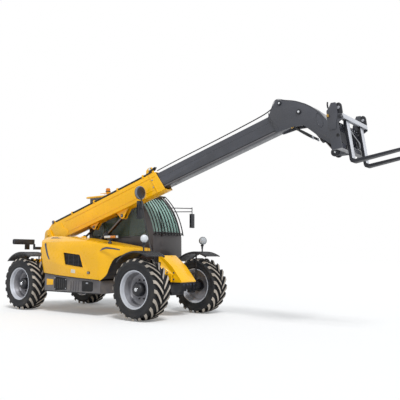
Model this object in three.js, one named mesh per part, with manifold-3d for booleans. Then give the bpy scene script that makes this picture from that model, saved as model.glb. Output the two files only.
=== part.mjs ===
// Compact telehandler: four equal steered wheels, cab on the left, engine pod on the right,
// two-stage boom between them and pallet forks on a tilting carriage.
// Millimetres. +X forward, +Y to the machine's left, +Z up.
import * as THREE from 'three';
import { mergeVertices } from 'three/addons/utils/BufferGeometryUtils.js';
import Module from 'manifold-3d';

const wasm = await Module();
wasm.setup();

// ---------------------------------------------------------------- driving dimensions
const GAP = 0.3; // between pieces that touch
const PIN_PLAY = 0.8; // round a pin or a spindle, on the radius
const SWING_GAP = 6; // between pieces that move past each other

const WHEELBASE = 3160;
const TRACK = 1580; // between the tyres' centre planes
const TYRE_RADIUS = 505;
const TYRE_WIDTH = 370;
const RIM_RADIUS = 315; // over the flange
const RIM_WIDTH = 350;
const WHEEL_FACETS = 32; // a flat lies on the ground
const AXLE_HEIGHT = TYRE_RADIUS * Math.cos(Math.PI / WHEEL_FACETS);
const AXLE_TUBE_RADIUS = 62;
const KINGPIN_HALF_TRACK = 560;
const HUB_RADIUS = 112;

const MUDGUARD_RADIUS = 600;
const MUDGUARD_CENTRE = [20, 22]; // forward of the axle and above it
const MUDGUARD_THICKNESS = 10;
const MUDGUARD_FRONT_ANGLE = 30; // from straight up
const MUDGUARD_REAR_ANGLE = 45;
const ARCH_RADIUS = 760; // clears the tyre and mudguard at full lock

const RAIL_THICKNESS = 25;
const RAIL_RIGHT_Y = -212; // outer face of the right rail
const RAIL_LEFT_Y = 200; // outer face of the left rail
const FRAME_REAR_X = -1960;
const NOSE_BACK_X = 1430;
const FRAME_FLOOR_Z = 430;
const RAIL_TOP_Z = 800;

const BOOM_ANGLE = 16; // above level, as it is carried
const BOOM_Y = -75;
const BOOM_PIVOT_X = -1725;
const BOOM_PIVOT_Z = 1490;
const BOOM_PIN_RADIUS = 32;
const OUTER_WIDTH = 210;
const OUTER_TOP = 185; // above the pivot, square to the boom
const OUTER_BOTTOM = -200;
const OUTER_END = 3350; // along the boom, at its lower edge
const OUTER_WALL = 10;
const STAGE_GAP = 10; // slide pads' height between the stages
const INNER_TOP = 145;
const INNER_BOTTOM = -150;
const INNER_START = 2300;
const INNER_END = 5900;
const HEAD_START = 5640;
const HEAD_PLATE = 18;

const TILT_PIVOT_U = 6552; // along the boom
const TILT_PIVOT_V = -641; // square to it
const TILT_PIN_RADIUS = 30;
const NOSE_BOSS_RADIUS = 95;
const BOSS_TUBE_RADIUS = 58; // round the tilt pin, between the nose plates
const CARRIAGE_ANGLE = -8; // forks' slope against the boom's is BOOM_ANGLE lower by this
const CARRIAGE_HALF_WIDTH = 460;
const FORK_SPACING = 506;
const FORK_WIDTH = 110;
const FORK_THICKNESS = 42;
const FORK_DROOP = 0.3; // degrees that the blades open beyond square
const FORK_LENGTH = 1150;
const FORK_BAR_RADIUS = 24;

const CAB_RIGHT_Y = 85;
const CAB_LEFT_Y = 900;
const CAB_REAR_X = -750;
const CAB_FRONT_X = 1030;
const CAB_FLOOR_Z = 560;
const CAB_WAIST_Z = 1400;
const CAB_TOP_Z = 2225;
const CAB_HEADER_X = 520;
const CAB_WALL = 30;
const GLASS = 6;
const DOOR_GAP = 5;
const ROOF_HEIGHT = 40; // at the roof's edges
const ROOF_CROWN = 25;
const BEACON_HEIGHT = 207; // above the cab's top
const BEACON_TOP_Z = CAB_TOP_Z + BEACON_HEIGHT;

const POD_OUTER_Y = -950;
const POD_INNER_Y = -236;
const POD_SHEET = 12;

// ---------------------------------------------------------------- materials
const paint = (color, roughness = 0.45, metalness = 0.1) =>
  new THREE.MeshStandardMaterial({ color, roughness, metalness });
const yellow = () => paint(0xf2b414, 0.35);
const boomGrey = () => paint(0x4b4d55);
const steelGrey = () => paint(0x62605f, 0.5, 0.2);
const blackPlastic = () => paint(0x1c1d1f, 0.6, 0);
const cabGrey = () => paint(0x413e3c, 0.55);
const rubber = () => paint(0x232527, 0.85, 0);
const silver = () => paint(0xc8cad0, 0.35, 0.5);
const chrome = () => paint(0xe2e4e8, 0.12, 1);
const castIron = () => paint(0x2b2c2e, 0.6, 0.4);
const orange = () => paint(0xf08010, 0.3, 0);
const glass = () => {
  const material = paint(0xbfeee0, 0.05, 0);
  material.transparent = true;
  material.opacity = 0.4;
  return material;
};

// ---------------------------------------------------------------- solids from three.js shapes
const radians = THREE.MathUtils.degToRad;

function toSolid(geometry) {
  const bare = geometry.index ? geometry.clone() : mergeVertices(geometry);
  for (const name of Object.keys(bare.attributes)) {
    if (name !== 'position') bare.deleteAttribute(name);
  }
  const merged = mergeVertices(bare, 1e-4);
  return new wasm.Manifold(new wasm.Mesh({
    numProp: 3,
    vertProperties: new Float32Array(merged.attributes.position.array),
    triVerts: new Uint32Array(merged.index.array),
  }));
}

function toGeometry(solid) {
  const mesh = solid.getMesh();
  const geometry = new THREE.BufferGeometry();
  geometry.setAttribute('position', new THREE.BufferAttribute(mesh.vertProperties, 3));
  geometry.setIndex(new THREE.BufferAttribute(mesh.triVerts, 1));
  geometry.computeVertexNormals();
  return geometry;
}

const join = (first, ...rest) => rest.reduce((whole, piece) => whole.add(piece), first);
const cut = (first, ...tools) => tools.reduce((whole, tool) => whole.subtract(tool), first);

function block([x0, x1], [y0, y1], [z0, z1]) {
  const geometry = new THREE.BoxGeometry(x1 - x0, y1 - y0, z1 - z0);
  geometry.translate((x0 + x1) / 2, (y0 + y1) / 2, (z0 + z1) / 2);
  return toSolid(geometry);
}

function extrude(outline, depth, basis, offset) {
  const shape = outline instanceof THREE.Shape
    ? outline
    : new THREE.Shape(outline.map(([x, y]) => new THREE.Vector2(x, y)));
  const geometry = new THREE.ExtrudeGeometry(shape, { depth, bevelEnabled: false, curveSegments: 8 });
  geometry.applyMatrix4(basis);
  geometry.translate(...offset);
  return toSolid(geometry);
}

const X = new THREE.Vector3(1, 0, 0);
const Y = new THREE.Vector3(0, 1, 0);
const Z = new THREE.Vector3(0, 0, 1);
const SIDE_VIEW = new THREE.Matrix4().makeBasis(X, Z, Y.clone().negate());
const FRONT_VIEW = new THREE.Matrix4().makeBasis(Y, Z, X);

// An outline of [x, z] points, from y0 to y1.
const plateXZ = (outline, y0, y1) => extrude(outline, y1 - y0, SIDE_VIEW, [0, y1, 0]);
// An outline of [y, z] points, from x0 to x1.
const plateYZ = (outline, x0, x1) => extrude(outline, x1 - x0, FRONT_VIEW, [x0, 0, 0]);
// An outline of [x, y] points, from z0 to z1.
const plateXY = (outline, z0, z1) => extrude(outline, z1 - z0, new THREE.Matrix4(), [0, 0, z0]);

// A round bar between two points.
function bar(from, to, radius, facets = 16) {
  const start = new THREE.Vector3(...from);
  const axis = new THREE.Vector3(...to).sub(start);
  const geometry = new THREE.CylinderGeometry(radius, radius, axis.length(), facets);
  geometry.translate(0, axis.length() / 2, 0);
  geometry.applyQuaternion(new THREE.Quaternion().setFromUnitVectors(Y, axis.clone().normalize()));
  geometry.translate(...from);
  return toSolid(geometry);
}

// A round bar along Y at [x, z].
const pinY = ([x, z], radius, y0, y1, facets = 20) => bar([x, y0, z], [x, y1, z], radius, facets);

// A closed [radius, y] profile turned about the Y axis, with a flat facing down.
function turned(profile, facets = WHEEL_FACETS) {
  const points = [...profile, profile[0]].map(([radius, y]) => new THREE.Vector2(radius, y));
  const geometry = new THREE.LatheGeometry(points, facets);
  geometry.rotateY(Math.PI / facets);
  let solid = toSolid(geometry);
  if (solid.volume() < 0) {
    const index = geometry.index.array;
    for (let i = 0; i < index.length; i += 3) [index[i], index[i + 1]] = [index[i + 1], index[i]];
    solid = toSolid(geometry);
  }
  return solid;
}

const mirrorY = (solid) => solid.mirror([0, 1, 0]);
const moved = (solid, x, y, z) => solid.translate([x, y, z]);

// Points on an arc about [x, z], from one angle to another, in degrees from +X towards +Z.
function arc([x, z], radius, from, to, steps = 8) {
  return Array.from({ length: steps + 1 }, (_, i) => {
    const angle = radians(from + (to - from) * i / steps);
    return [x + radius * Math.cos(angle), z + radius * Math.sin(angle)];
  });
}

// ---------------------------------------------------------------- scene graph
const machine = new THREE.Group();

function add(parent, name, solid, material) {
  const mesh = new THREE.Mesh(toGeometry(solid), material);
  mesh.name = name;
  parent.add(mesh);
}

const frontAxle = [WHEELBASE / 2, AXLE_HEIGHT];
const rearAxle = [-WHEELBASE / 2, AXLE_HEIGHT];

// ---------------------------------------------------------------- boom's places in the machine
function boomPoint(u, v) {
  const angle = radians(BOOM_ANGLE);
  return [
    BOOM_PIVOT_X + u * Math.cos(angle) - v * Math.sin(angle),
    BOOM_PIVOT_Z + u * Math.sin(angle) + v * Math.cos(angle),
  ];
}

const LIFT_FOOT = [-1240, 520];
const LIFT_EYE = [2150, -290]; // on the boom
const LEVELLING_FOOT = [-1527, 924];
const LEVELLING_EYE = [1340, -255]; // on the boom
const TILT_FOOT = [6141, -12]; // on the boom
const TILT_EYE = [6471, -797]; // on the boom, on the carriage's lug

// ---------------------------------------------------------------- chassis
const railRight = [RAIL_RIGHT_Y, RAIL_RIGHT_Y + RAIL_THICKNESS];
const railLeft = [RAIL_LEFT_Y - RAIL_THICKNESS, RAIL_LEFT_Y];
const towerLeft = [BOOM_Y + OUTER_WIDTH / 2 + SWING_GAP, BOOM_Y + OUTER_WIDTH / 2 + SWING_GAP + RAIL_THICKNESS];
const NOSE_TIP_X = 1950;
const NOSE_CREASE_X = 1740;
const NOSE_TOP_Z = 1055;
const NOSE_CREASE_Z = 865;
const NOSE_TIP_Z = 590;
const BOOM_BOSS_RADIUS = 110;
const LIFT_PIN_RADIUS = 28;
const LEVELLING_PIN_RADIUS = 22;
const BONNET_HINGE = [RAIL_RIGHT_Y - 12, 1424]; // [y, z]
const BONNET_HINGE_X = [-800, -560];
const TOWER_FRONT_X = -1260;

function chassisFrame() {
  const railOutline = [
    [FRAME_REAR_X, FRAME_FLOOR_Z + 160], [FRAME_REAR_X + 120, FRAME_FLOOR_Z],
    [NOSE_BACK_X + 10, FRAME_FLOOR_Z], [NOSE_BACK_X + 10, RAIL_TOP_Z + 120],
    [1000, RAIL_TOP_Z], [FRAME_REAR_X, RAIL_TOP_Z],
  ];
  const towerOutline = [
    [FRAME_REAR_X, RAIL_TOP_Z - 60], [TOWER_FRONT_X + 160, RAIL_TOP_Z - 60], [TOWER_FRONT_X, 1180],
    ...arc([BOOM_PIVOT_X, BOOM_PIVOT_Z], BOOM_BOSS_RADIUS, 10, 190),
  ];
  const noseOutline = [
    [NOSE_BACK_X, FRAME_FLOOR_Z + 110], [1800, FRAME_FLOOR_Z + 130], [NOSE_TIP_X, NOSE_TIP_Z],
    [NOSE_TIP_X, NOSE_TIP_Z + 30], [NOSE_CREASE_X, NOSE_CREASE_Z],
    [NOSE_BACK_X + 60, NOSE_TOP_Z], [NOSE_BACK_X, NOSE_TOP_Z],
  ];
  const noseSide = RAIL_THICKNESS + 2;
  const floor = block([FRAME_REAR_X + 120, NOSE_BACK_X + 10], [railRight[0], railLeft[1]],
    [FRAME_FLOOR_Z, FRAME_FLOOR_Z + 14]);
  const rearPlate = block([FRAME_REAR_X, FRAME_REAR_X + 20], [railRight[0], railLeft[1]],
    [FRAME_FLOOR_Z + 160, 1240]);
  const innerWeb = block([FRAME_REAR_X, TOWER_FRONT_X + 160], towerLeft, [FRAME_FLOOR_Z, RAIL_TOP_Z]);
  const bulkhead = block([NOSE_BACK_X - 330, NOSE_BACK_X - 310], [railRight[0], railLeft[1]],
    [FRAME_FLOOR_Z, RAIL_TOP_Z]);
  const solid = join(
    plateXZ(railOutline, ...railRight), plateXZ(railOutline, ...railLeft),
    plateXZ(towerOutline, ...railRight), plateXZ(towerOutline, ...towerLeft),
    plateXZ(noseOutline, railRight[0] + noseSide - 15, railLeft[1] - noseSide + 15),
    floor, rearPlate, innerWeb, bulkhead, engineBulkhead(), rearWeight(),
    pinStub([BOOM_PIVOT_X, BOOM_PIVOT_Z], BOOM_PIN_RADIUS, BOOM_PIN_REACH),
    pinY(LEVELLING_FOOT, LEVELLING_PIN_RADIUS, railRight[0] - 6, towerLeft[1] + 6),
    pinY(LIFT_FOOT, LIFT_PIN_RADIUS, railRight[0] - 6, towerLeft[1] + 6),
    axleSaddle(frontAxle), axleSaddle(rearAxle),
  );
  return cut(solid, axleBore(frontAxle), axleBore(rearAxle));
}

// Upright sheet between the boom and the engine, with the two pins that the bonnet hinges on.
function engineBulkhead() {
  const outline = [
    [-880, RAIL_TOP_Z - 40], [790, RAIL_TOP_Z - 40], [880, 900], [1000, 1040], [1180, 1120], [1180, 1160],
    [600, 1255], [0, 1335], [-500, 1390], [-890, 1395],
  ];
  const pieces = [plateXZ(outline, RAIL_RIGHT_Y - 10, RAIL_RIGHT_Y + 6)];
  for (const x of BONNET_HINGE_X) {
    pieces.push(bar([x - 60, BONNET_HINGE[0], BONNET_HINGE[1]], [x + 60, BONNET_HINGE[0], BONNET_HINGE[1]], 6, 12));
    for (const end of [x - 60, x + 48]) {
      pieces.push(block([end, end + 12], [BONNET_HINGE[0] - 6, RAIL_RIGHT_Y + 6], [1370, BONNET_HINGE[1] + 7]));
    }
  }
  return join(...pieces);
}

function rearWeight() {
  const side = [
    [-2080, 560], [-2030, 500], [FRAME_REAR_X + 10, 500], [FRAME_REAR_X + 10, 980], [-2050, 980], [-2080, 940],
  ];
  return plateXZ(side, -340, 340);
}

const BOOM_PIN_REACH = SWING_GAP + OUTER_WALL + 20;

// Two short pins, on the right rail and the left web, that reach inwards and stand proud outside.
function pinStub(place, radius, reach) {
  return join(
    pinY(place, radius, railRight[0] - 12, railRight[1] + reach),
    pinY(place, radius, towerLeft[0] - reach, towerLeft[1] + 12),
  );
}

// The axle is bolted up into a saddle between the rails.
const SADDLE_HALF = 150;
const DIFFERENTIAL_HALF = 130;
const axleSaddle = ([x]) => block([x - SADDLE_HALF, x + SADDLE_HALF], [railRight[0], railLeft[1]],
  [FRAME_FLOOR_Z, RAIL_TOP_Z - 60]);
const axleBore = ([x, z]) => join(
  block([x - DIFFERENTIAL_HALF - GAP, x + DIFFERENTIAL_HALF + GAP], [-1000, 1000],
    [FRAME_FLOOR_Z - 50, z + DIFFERENTIAL_HALF + GAP]),
);

// ---------------------------------------------------------------- axles, knuckles and wheels
const FORK_EYE_HEIGHT = 120; // kingpin yoke, above and below the axle
const YOKE_HALF_WIDTH = 38;
const KINGPIN_RADIUS = 24;

function axle([x, z]) {
  const pieces = [
    block([x - DIFFERENTIAL_HALF, x + DIFFERENTIAL_HALF], [-170, 160], [z - DIFFERENTIAL_HALF, z + DIFFERENTIAL_HALF]),
    pinY([x, z], AXLE_TUBE_RADIUS, -KINGPIN_HALF_TRACK + 90, KINGPIN_HALF_TRACK - 90),
  ];
  for (const side of [-1, 1]) {
    const inner = side * (KINGPIN_HALF_TRACK - 105);
    const outer = side * (KINGPIN_HALF_TRACK + YOKE_HALF_WIDTH);
    const wall = side * (KINGPIN_HALF_TRACK - 75);
    const span = (a, b) => [Math.min(a, b), Math.max(a, b)];
    pieces.push(
      block([x - YOKE_HALF_WIDTH, x + YOKE_HALF_WIDTH], span(inner, wall), [z - FORK_EYE_HEIGHT, z + FORK_EYE_HEIGHT]),
      block([x - YOKE_HALF_WIDTH, x + YOKE_HALF_WIDTH], span(inner, outer), [z + 92, z + FORK_EYE_HEIGHT]),
      block([x - YOKE_HALF_WIDTH, x + YOKE_HALF_WIDTH], span(inner, outer), [z - FORK_EYE_HEIGHT, z - 92]),
      bar([x, side * KINGPIN_HALF_TRACK, z + 70], [x, side * KINGPIN_HALF_TRACK, z + FORK_EYE_HEIGHT + 10], KINGPIN_RADIUS),
      bar([x, side * KINGPIN_HALF_TRACK, z - FORK_EYE_HEIGHT - 10], [x, side * KINGPIN_HALF_TRACK, z - 70], KINGPIN_RADIUS),
    );
  }
  return join(...pieces);
}

const DISC_Y = -45; // wheel disc's inner face, from the tyre's centre plane outwards
const DISC_THICKNESS = 16;
const SPINDLE_RADIUS = 50;
const HUB_FACE_Y = 92;
const KNUCKLE_HALF = 62;

// Built for the left side, about the wheel's centre, with +Y outwards.
function knuckle() {
  const kingpinY = KINGPIN_HALF_TRACK - TRACK / 2;
  const body = cut(
    join(
      block([-KNUCKLE_HALF, KNUCKLE_HALF], [kingpinY - 48, kingpinY + 70], [-92 + SWING_GAP, 92 - SWING_GAP]),
      pinY([0, 0], 78, kingpinY + 40, DISC_Y - SWING_GAP),
      pinY([0, 0], SPINDLE_RADIUS, kingpinY + 40, DISC_Y + 70),
    ),
    bar([0, kingpinY, -100], [0, kingpinY, 100], KINGPIN_RADIUS + PIN_PLAY),
  );
  return body;
}

const GUARD_HALF_WIDTH = TYRE_WIDTH / 2 + 6;
const STAY_Y = [-(TYRE_WIDTH / 2 + 38), -(TYRE_WIDTH / 2 + 26)];

// Arched guard over the tyre with its inner lip and the stay that carries it from the knuckle.
function mudguard(lamp) {
  const ends = [90 - MUDGUARD_FRONT_ANGLE, 90 + MUDGUARD_REAR_ANGLE];
  const ring = (outer, inner) => [
    ...arc(MUDGUARD_CENTRE, outer, ends[0], ends[1], 14), ...arc(MUDGUARD_CENTRE, inner, ends[1], ends[0], 14),
  ];
  const under = MUDGUARD_RADIUS - MUDGUARD_THICKNESS;
  const top = MUDGUARD_CENTRE[1] + under + 4;
  const innerEdge = STAY_Y[0] - 4;
  const pieces = [
    plateXZ(ring(MUDGUARD_RADIUS, under), innerEdge, GUARD_HALF_WIDTH),
    plateXZ(ring(under + 2, under - 24), innerEdge, innerEdge + 8),
    plateXZ(ring(under + 2, under - 12), GUARD_HALF_WIDTH - 8, GUARD_HALF_WIDTH),
    block([KNUCKLE_HALF + GAP, KNUCKLE_HALF + 28], STAY_Y, [-50, top - 6]),
  ];
  if (lamp) {
    pieces.push(
      bar([50, 0, top - 6], [50, 0, LAMP_Z - 40], 14, 10),
      bar([22, 0, LAMP_Z], [70, 0, LAMP_Z], LAMP_RADIUS, 20),
      bar([50, 0, LAMP_Z - LAMP_RADIUS - 20], [50, 0, LAMP_Z - LAMP_RADIUS + 10], 26, 12),
    );
  }
  return join(...pieces);
}

const LAMP_RADIUS = 62;
const LAMP_Z = 1329 - AXLE_HEIGHT;

// Built for the left side, about the wheel's centre, with +Y outwards.
function rim() {
  const half = RIM_WIDTH / 2;
  const seat = RIM_RADIUS - 18;
  const barrel = [
    [RIM_RADIUS, half], [RIM_RADIUS - 10, half + 3], [seat - 14, half - 14], [seat - 14, DISC_Y + DISC_THICKNESS],
    [seat - 40, DISC_Y + DISC_THICKNESS], [HUB_RADIUS, DISC_Y + 34],
    [HUB_RADIUS, HUB_FACE_Y - 12], [HUB_RADIUS - 14, HUB_FACE_Y], [SPINDLE_RADIUS + PIN_PLAY, HUB_FACE_Y],
    [SPINDLE_RADIUS + PIN_PLAY, DISC_Y], [seat - 30, DISC_Y], [seat - 14, DISC_Y - 30],
    [seat - 14, -half + 14], [RIM_RADIUS - 10, -half - 3], [RIM_RADIUS, -half], [RIM_RADIUS, -half + 10],
    [seat, -half + 16], [seat, half - 16], [RIM_RADIUS, half - 10],
  ];
  const cap = pinY([0, 0], SPINDLE_RADIUS + PIN_PLAY + 4, DISC_Y + 76, HUB_FACE_Y + 12);
  return join(turned(barrel), cap);
}

function tyre() {
  const seat = RIM_RADIUS - 18 + GAP;
  const half = RIM_WIDTH / 2 - 17;
  const side = [
    [seat, half], [RIM_RADIUS + 20, half + 8], [RIM_RADIUS + 85, TYRE_WIDTH / 2],
    [TYRE_RADIUS - 45, TYRE_WIDTH / 2 - 6], [TYRE_RADIUS - 12, TYRE_WIDTH / 2 - 28],
    [TYRE_RADIUS, TYRE_WIDTH / 2 - 62],
  ];
  return turned([...side, ...side.map(([radius, y]) => [radius, -y]).reverse()]);
}

for (const [end, sign] of [['front', 1], ['rear', -1]]) {
  for (const [side, hand] of [['left', 1], ['right', -1]]) {
    const station = new THREE.Group();
    station.position.set(sign * WHEELBASE / 2, hand * TRACK / 2, AXLE_HEIGHT);
    machine.add(station);
    const handed = (solid) => (hand > 0 ? solid : mirrorY(solid));
    add(station, `${end}_${side}_knuckle`, handed(knuckle()), castIron());
    add(station, `${end}_${side}_mudguard`, handed(mudguard(end === 'front')), blackPlastic());
    add(station, `${end}_${side}_rim`, handed(rim()), silver());
    add(station, `${end}_${side}_tyre`, handed(tyre()), rubber());
  }
}
add(machine, 'chassis_frame', chassisFrame(), yellow());
add(machine, 'front_axle', axle(frontAxle), castIron());
add(machine, 'rear_axle', axle(rearAxle), castIron());

// ---------------------------------------------------------------- boom
const boom = new THREE.Group();
boom.position.set(BOOM_PIVOT_X, BOOM_Y, BOOM_PIVOT_Z);
boom.rotation.y = -radians(BOOM_ANGLE);
machine.add(boom);

const LUG_HALF_GAP = 34; // inside a pair of lugs
const LUG_PLATE = 16;

// A pair of lugs under the boom. The rod's eye moves freely between their pin heads.
function boomLugs([u, v], radius, pinRadius) {
  const outline = [
    [u - 2.2 * radius, OUTER_BOTTOM + 4], ...arc([u, v], radius, 200, 340, 6),
    [u + 3.4 * radius, OUTER_BOTTOM + 4],
  ];
  const lug = (y) => plateXZ(outline, y, y + LUG_PLATE);
  const head = (hand) => pinY(
    [u, v], pinRadius, ...span(hand * (LUG_HALF_GAP + 4), hand * (LUG_HALF_GAP + LUG_PLATE + 10)), 16);
  return join(lug(-LUG_HALF_GAP - LUG_PLATE), lug(LUG_HALF_GAP), head(-1), head(1));
}

// Slot in the boom's floor that a rod's eye drifts into near the ends of the lift.
const eyeSlot = ([u]) => block([u - 190, u + 68], [-LUG_HALF_GAP, LUG_HALF_GAP],
  [OUTER_BOTTOM - 5, OUTER_BOTTOM + OUTER_WALL + 2]);

function outerBoom() {
  const half = OUTER_WIDTH / 2;
  const outline = [
    ...arc([0, 0], 118, 235, 150, 5), [130, OUTER_TOP + 8], [235, OUTER_TOP + 10], [300, OUTER_TOP],
    [OUTER_END - 145, OUTER_TOP], [OUTER_END, OUTER_BOTTOM], [330, OUTER_BOTTOM],
  ];
  const tube = plateXZ(outline, -half, half);
  const hollow = block([60, OUTER_END + 10], [-half + OUTER_WALL, half - OUTER_WALL],
    [OUTER_BOTTOM + OUTER_WALL, OUTER_TOP - OUTER_WALL]);
  const openRear = block([-200, 70], [-half + OUTER_WALL, half - OUTER_WALL], [-200, OUTER_TOP + 40]);
  const boss = join(...[-1, 1].map((hand) => pinY([0, 0], 70, ...span(hand * (half - 22), hand * half))));
  const bore = pinY([0, 0], BOOM_PIN_RADIUS + PIN_PLAY, -half - 10, half + 10);
  const rearPin = pinY([205, OUTER_TOP + 30], 24, -half - 12, half + 12);
  const rearEar = (hand) => plateXZ(
    [[120, OUTER_TOP - 30], [300, OUTER_TOP - 5], ...arc([205, OUTER_TOP + 30], 42, 20, 170, 5)],
    ...span(hand * (half - OUTER_WALL), hand * half));
  return cut(
    join(cut(tube, hollow, openRear), boss, rearEar(-1), rearEar(1), rearPin,
      boomLugs(LIFT_EYE, 62, 26), boomLugs(LEVELLING_EYE, 52, 20)),
    bore, eyeSlot(LIFT_EYE), eyeSlot(LEVELLING_EYE),
  );
}

const span = (a, b) => [Math.min(a, b), Math.max(a, b)];

const INNER_HALF = OUTER_WIDTH / 2 - OUTER_WALL - STAGE_GAP;
const INNER_WALL = 8;

// The inner stage, with the slide pads that fill the gap inside the outer stage at its rear end.
function innerBoom() {
  const padReach = STAGE_GAP - GAP;
  const tube = cut(
    block([INNER_START, INNER_END], [-INNER_HALF, INNER_HALF], [INNER_BOTTOM, INNER_TOP]),
    block([INNER_START - 10, INNER_END + 10], [-INNER_HALF + INNER_WALL, INNER_HALF - INNER_WALL],
      [INNER_BOTTOM + INNER_WALL, INNER_TOP - INNER_WALL]),
  );
  const pads = [-1, 1].map((hand) => block([INNER_START + 20, INNER_START + 220],
    span(hand * (INNER_HALF - 1), hand * (INNER_HALF + padReach)), [INNER_BOTTOM + 30, INNER_TOP - 30]));
  const below = block([INNER_START + 20, INNER_START + 220], [-60, 60],
    [OUTER_BOTTOM + OUTER_WALL + GAP, INNER_BOTTOM + 1]);
  const above = block([INNER_START + 20, INNER_START + 220], [-60, 60],
    [INNER_TOP - 1, OUTER_TOP - OUTER_WALL - GAP]);
  return join(tube, ...pads, below, above);
}

const HEAD_HALF = INNER_HALF + GAP + HEAD_PLATE;
const headTop = [
  [5709, 223], [5837, 342], [5991, 262], [6168, 150], [6276, 60], [6362, -42], [6443, -154], [6500, -298],
  [6560, -450],
];

// The gooseneck: two side plates and a top plate that drop from the inner stage to the tilt pivot.
function boomHead() {
  const pivot = [TILT_PIVOT_U, TILT_PIVOT_V];
  const outline = [
    [HEAD_START, INNER_TOP + 4], ...headTop, ...arc(pivot, NOSE_BOSS_RADIUS, 20, -150, 8),
    [6343, -523], [6151, -236], [5977, -185], [5735, INNER_BOTTOM - 10], [HEAD_START + 70, INNER_BOTTOM - 4],
  ];
  const topPlate = 14;
  const pocketTop = headTop.map(([u, v], i) => (i === 0 ? [u + 30, INNER_TOP + 20] : [u - topPlate, v - topPlate - 6]));
  const pocket = [
    [HEAD_START - 40, INNER_TOP + GAP], [INNER_START, INNER_TOP + GAP], [INNER_START, -1200],
    [TILT_PIVOT_U - 20, -1200], ...arc(pivot, BOSS_TUBE_RADIUS, -100, -250, 8), ...pocketTop.slice(1).reverse(),
  ];
  const inside = INNER_HALF + GAP;
  const solid = join(
    cut(plateXZ(outline, -HEAD_HALF, HEAD_HALF), plateXZ(pocket, -inside, inside)),
    pinY(TILT_FOOT, 24, -HEAD_HALF - 12, HEAD_HALF + 12),
    pinY([5881, 258], 22, -HEAD_HALF - 12, HEAD_HALF + 12),
    pinY(pivot, TILT_PIN_RADIUS, -HEAD_HALF - 50, HEAD_HALF + 50),
  );
  return solid;
}

add(boom, 'outer_boom', outerBoom(), yellow());
add(boom, 'inner_boom', innerBoom(), boomGrey());
add(boom, 'boom_head', boomHead(), boomGrey());

// ---------------------------------------------------------------- carriage and forks
const carriage = new THREE.Group();
carriage.position.set(TILT_PIVOT_U, 0, TILT_PIVOT_V);
carriage.rotation.y = -radians(CARRIAGE_ANGLE);
boom.add(carriage);

const EAR_PLATE = 20;
const EAR_Y = HEAD_HALF + SWING_GAP;
const FORK_BACK_X = 222;
const FORK_HEEL_Z = -434;
const FORK_BAR = [FORK_BACK_X + FORK_THICKNESS / 2, 191];

// The tilt cylinder's eye on the carriage, in the carriage's own frame.
const tiltLug = new THREE.Vector2(TILT_EYE[0] - TILT_PIVOT_U, TILT_EYE[1] - TILT_PIVOT_V)
  .rotateAround(new THREE.Vector2(), -radians(CARRIAGE_ANGLE));

function carriageFrame() {
  const endPlate = [
    [60, -235], [205, -235], [208, 120], [FORK_BAR[0] + 34, 150], [FORK_BAR[0] + 34, 225], [215, 245],
    [215, 400], [150, 410], [95, 330], [60, 240],
  ];
  const ear = [
    ...arc([0, 0], 80, 60, 260, 8), [110, -235], [200, -235], [200, 130], [120, 130],
  ];
  const lug = [
    ...arc([tiltLug.x, tiltLug.y], 46, 80, 270, 8), [110, -235], [200, -235], [200, -150],
    [112, -112], [20, -118],
  ];
  const plates = [];
  for (const hand of [-1, 1]) {
    plates.push(
      plateXZ(endPlate, ...span(hand * (CARRIAGE_HALF_WIDTH - 20), hand * CARRIAGE_HALF_WIDTH)),
      plateXZ(ear, ...span(hand * EAR_Y, hand * (EAR_Y + EAR_PLATE))),
      plateXZ(lug, ...span(hand * 36, hand * 54)),
    );
  }
  return cut(
    join(
      ...plates,
      block([120, 200], [-CARRIAGE_HALF_WIDTH + 10, CARRIAGE_HALF_WIDTH - 10], [-235, -160]),
      block([120, 200], [-CARRIAGE_HALF_WIDTH + 10, CARRIAGE_HALF_WIDTH - 10], [60, 130]),
      pinY([tiltLug.x, tiltLug.y], 22, -66, -29), pinY([tiltLug.x, tiltLug.y], 22, 29, 66),
    ),
    pinY([0, 0], TILT_PIN_RADIUS + PIN_PLAY, -EAR_Y - 60, EAR_Y + 60),
    pinY(FORK_BAR, FORK_BAR_RADIUS + GAP + 0.3, -CARRIAGE_HALF_WIDTH - 8, CARRIAGE_HALF_WIDTH + 8),
  );
}

function fork() {
  const front = FORK_BACK_X + FORK_THICKNESS;
  const drop = (x) => FORK_HEEL_Z - (x - front) * Math.tan(radians(FORK_DROOP));
  const tip = FORK_BACK_X + FORK_LENGTH;
  const outline = [
    [FORK_BACK_X, 160], [FORK_BACK_X, FORK_HEEL_Z + 45], [FORK_BACK_X + 12, FORK_HEEL_Z + 14],
    [FORK_BACK_X + 40, FORK_HEEL_Z], [tip, drop(tip) + 28], [tip, drop(tip) + FORK_THICKNESS],
    [front + 24, drop(front) + FORK_THICKNESS], [front, FORK_HEEL_Z + FORK_THICKNESS + 24], [front, 160],
  ];
  const half = FORK_WIDTH / 2;
  return join(plateXZ(outline, -half, half), pinY(FORK_BAR, 36, -half, half));
}

// Both forks on the bar that carries them.
const forks = () => join(
  moved(fork(), 0, -FORK_SPACING / 2, 0), moved(fork(), 0, FORK_SPACING / 2, 0),
  pinY(FORK_BAR, FORK_BAR_RADIUS, -CARRIAGE_HALF_WIDTH - 8, CARRIAGE_HALF_WIDTH + 8),
);

add(carriage, 'fork_carriage', carriageFrame(), boomGrey());
add(carriage, 'pallet_forks', forks(), castIron());

// ---------------------------------------------------------------- hydraulic cylinders
const EYE_HALF = 27;

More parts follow.
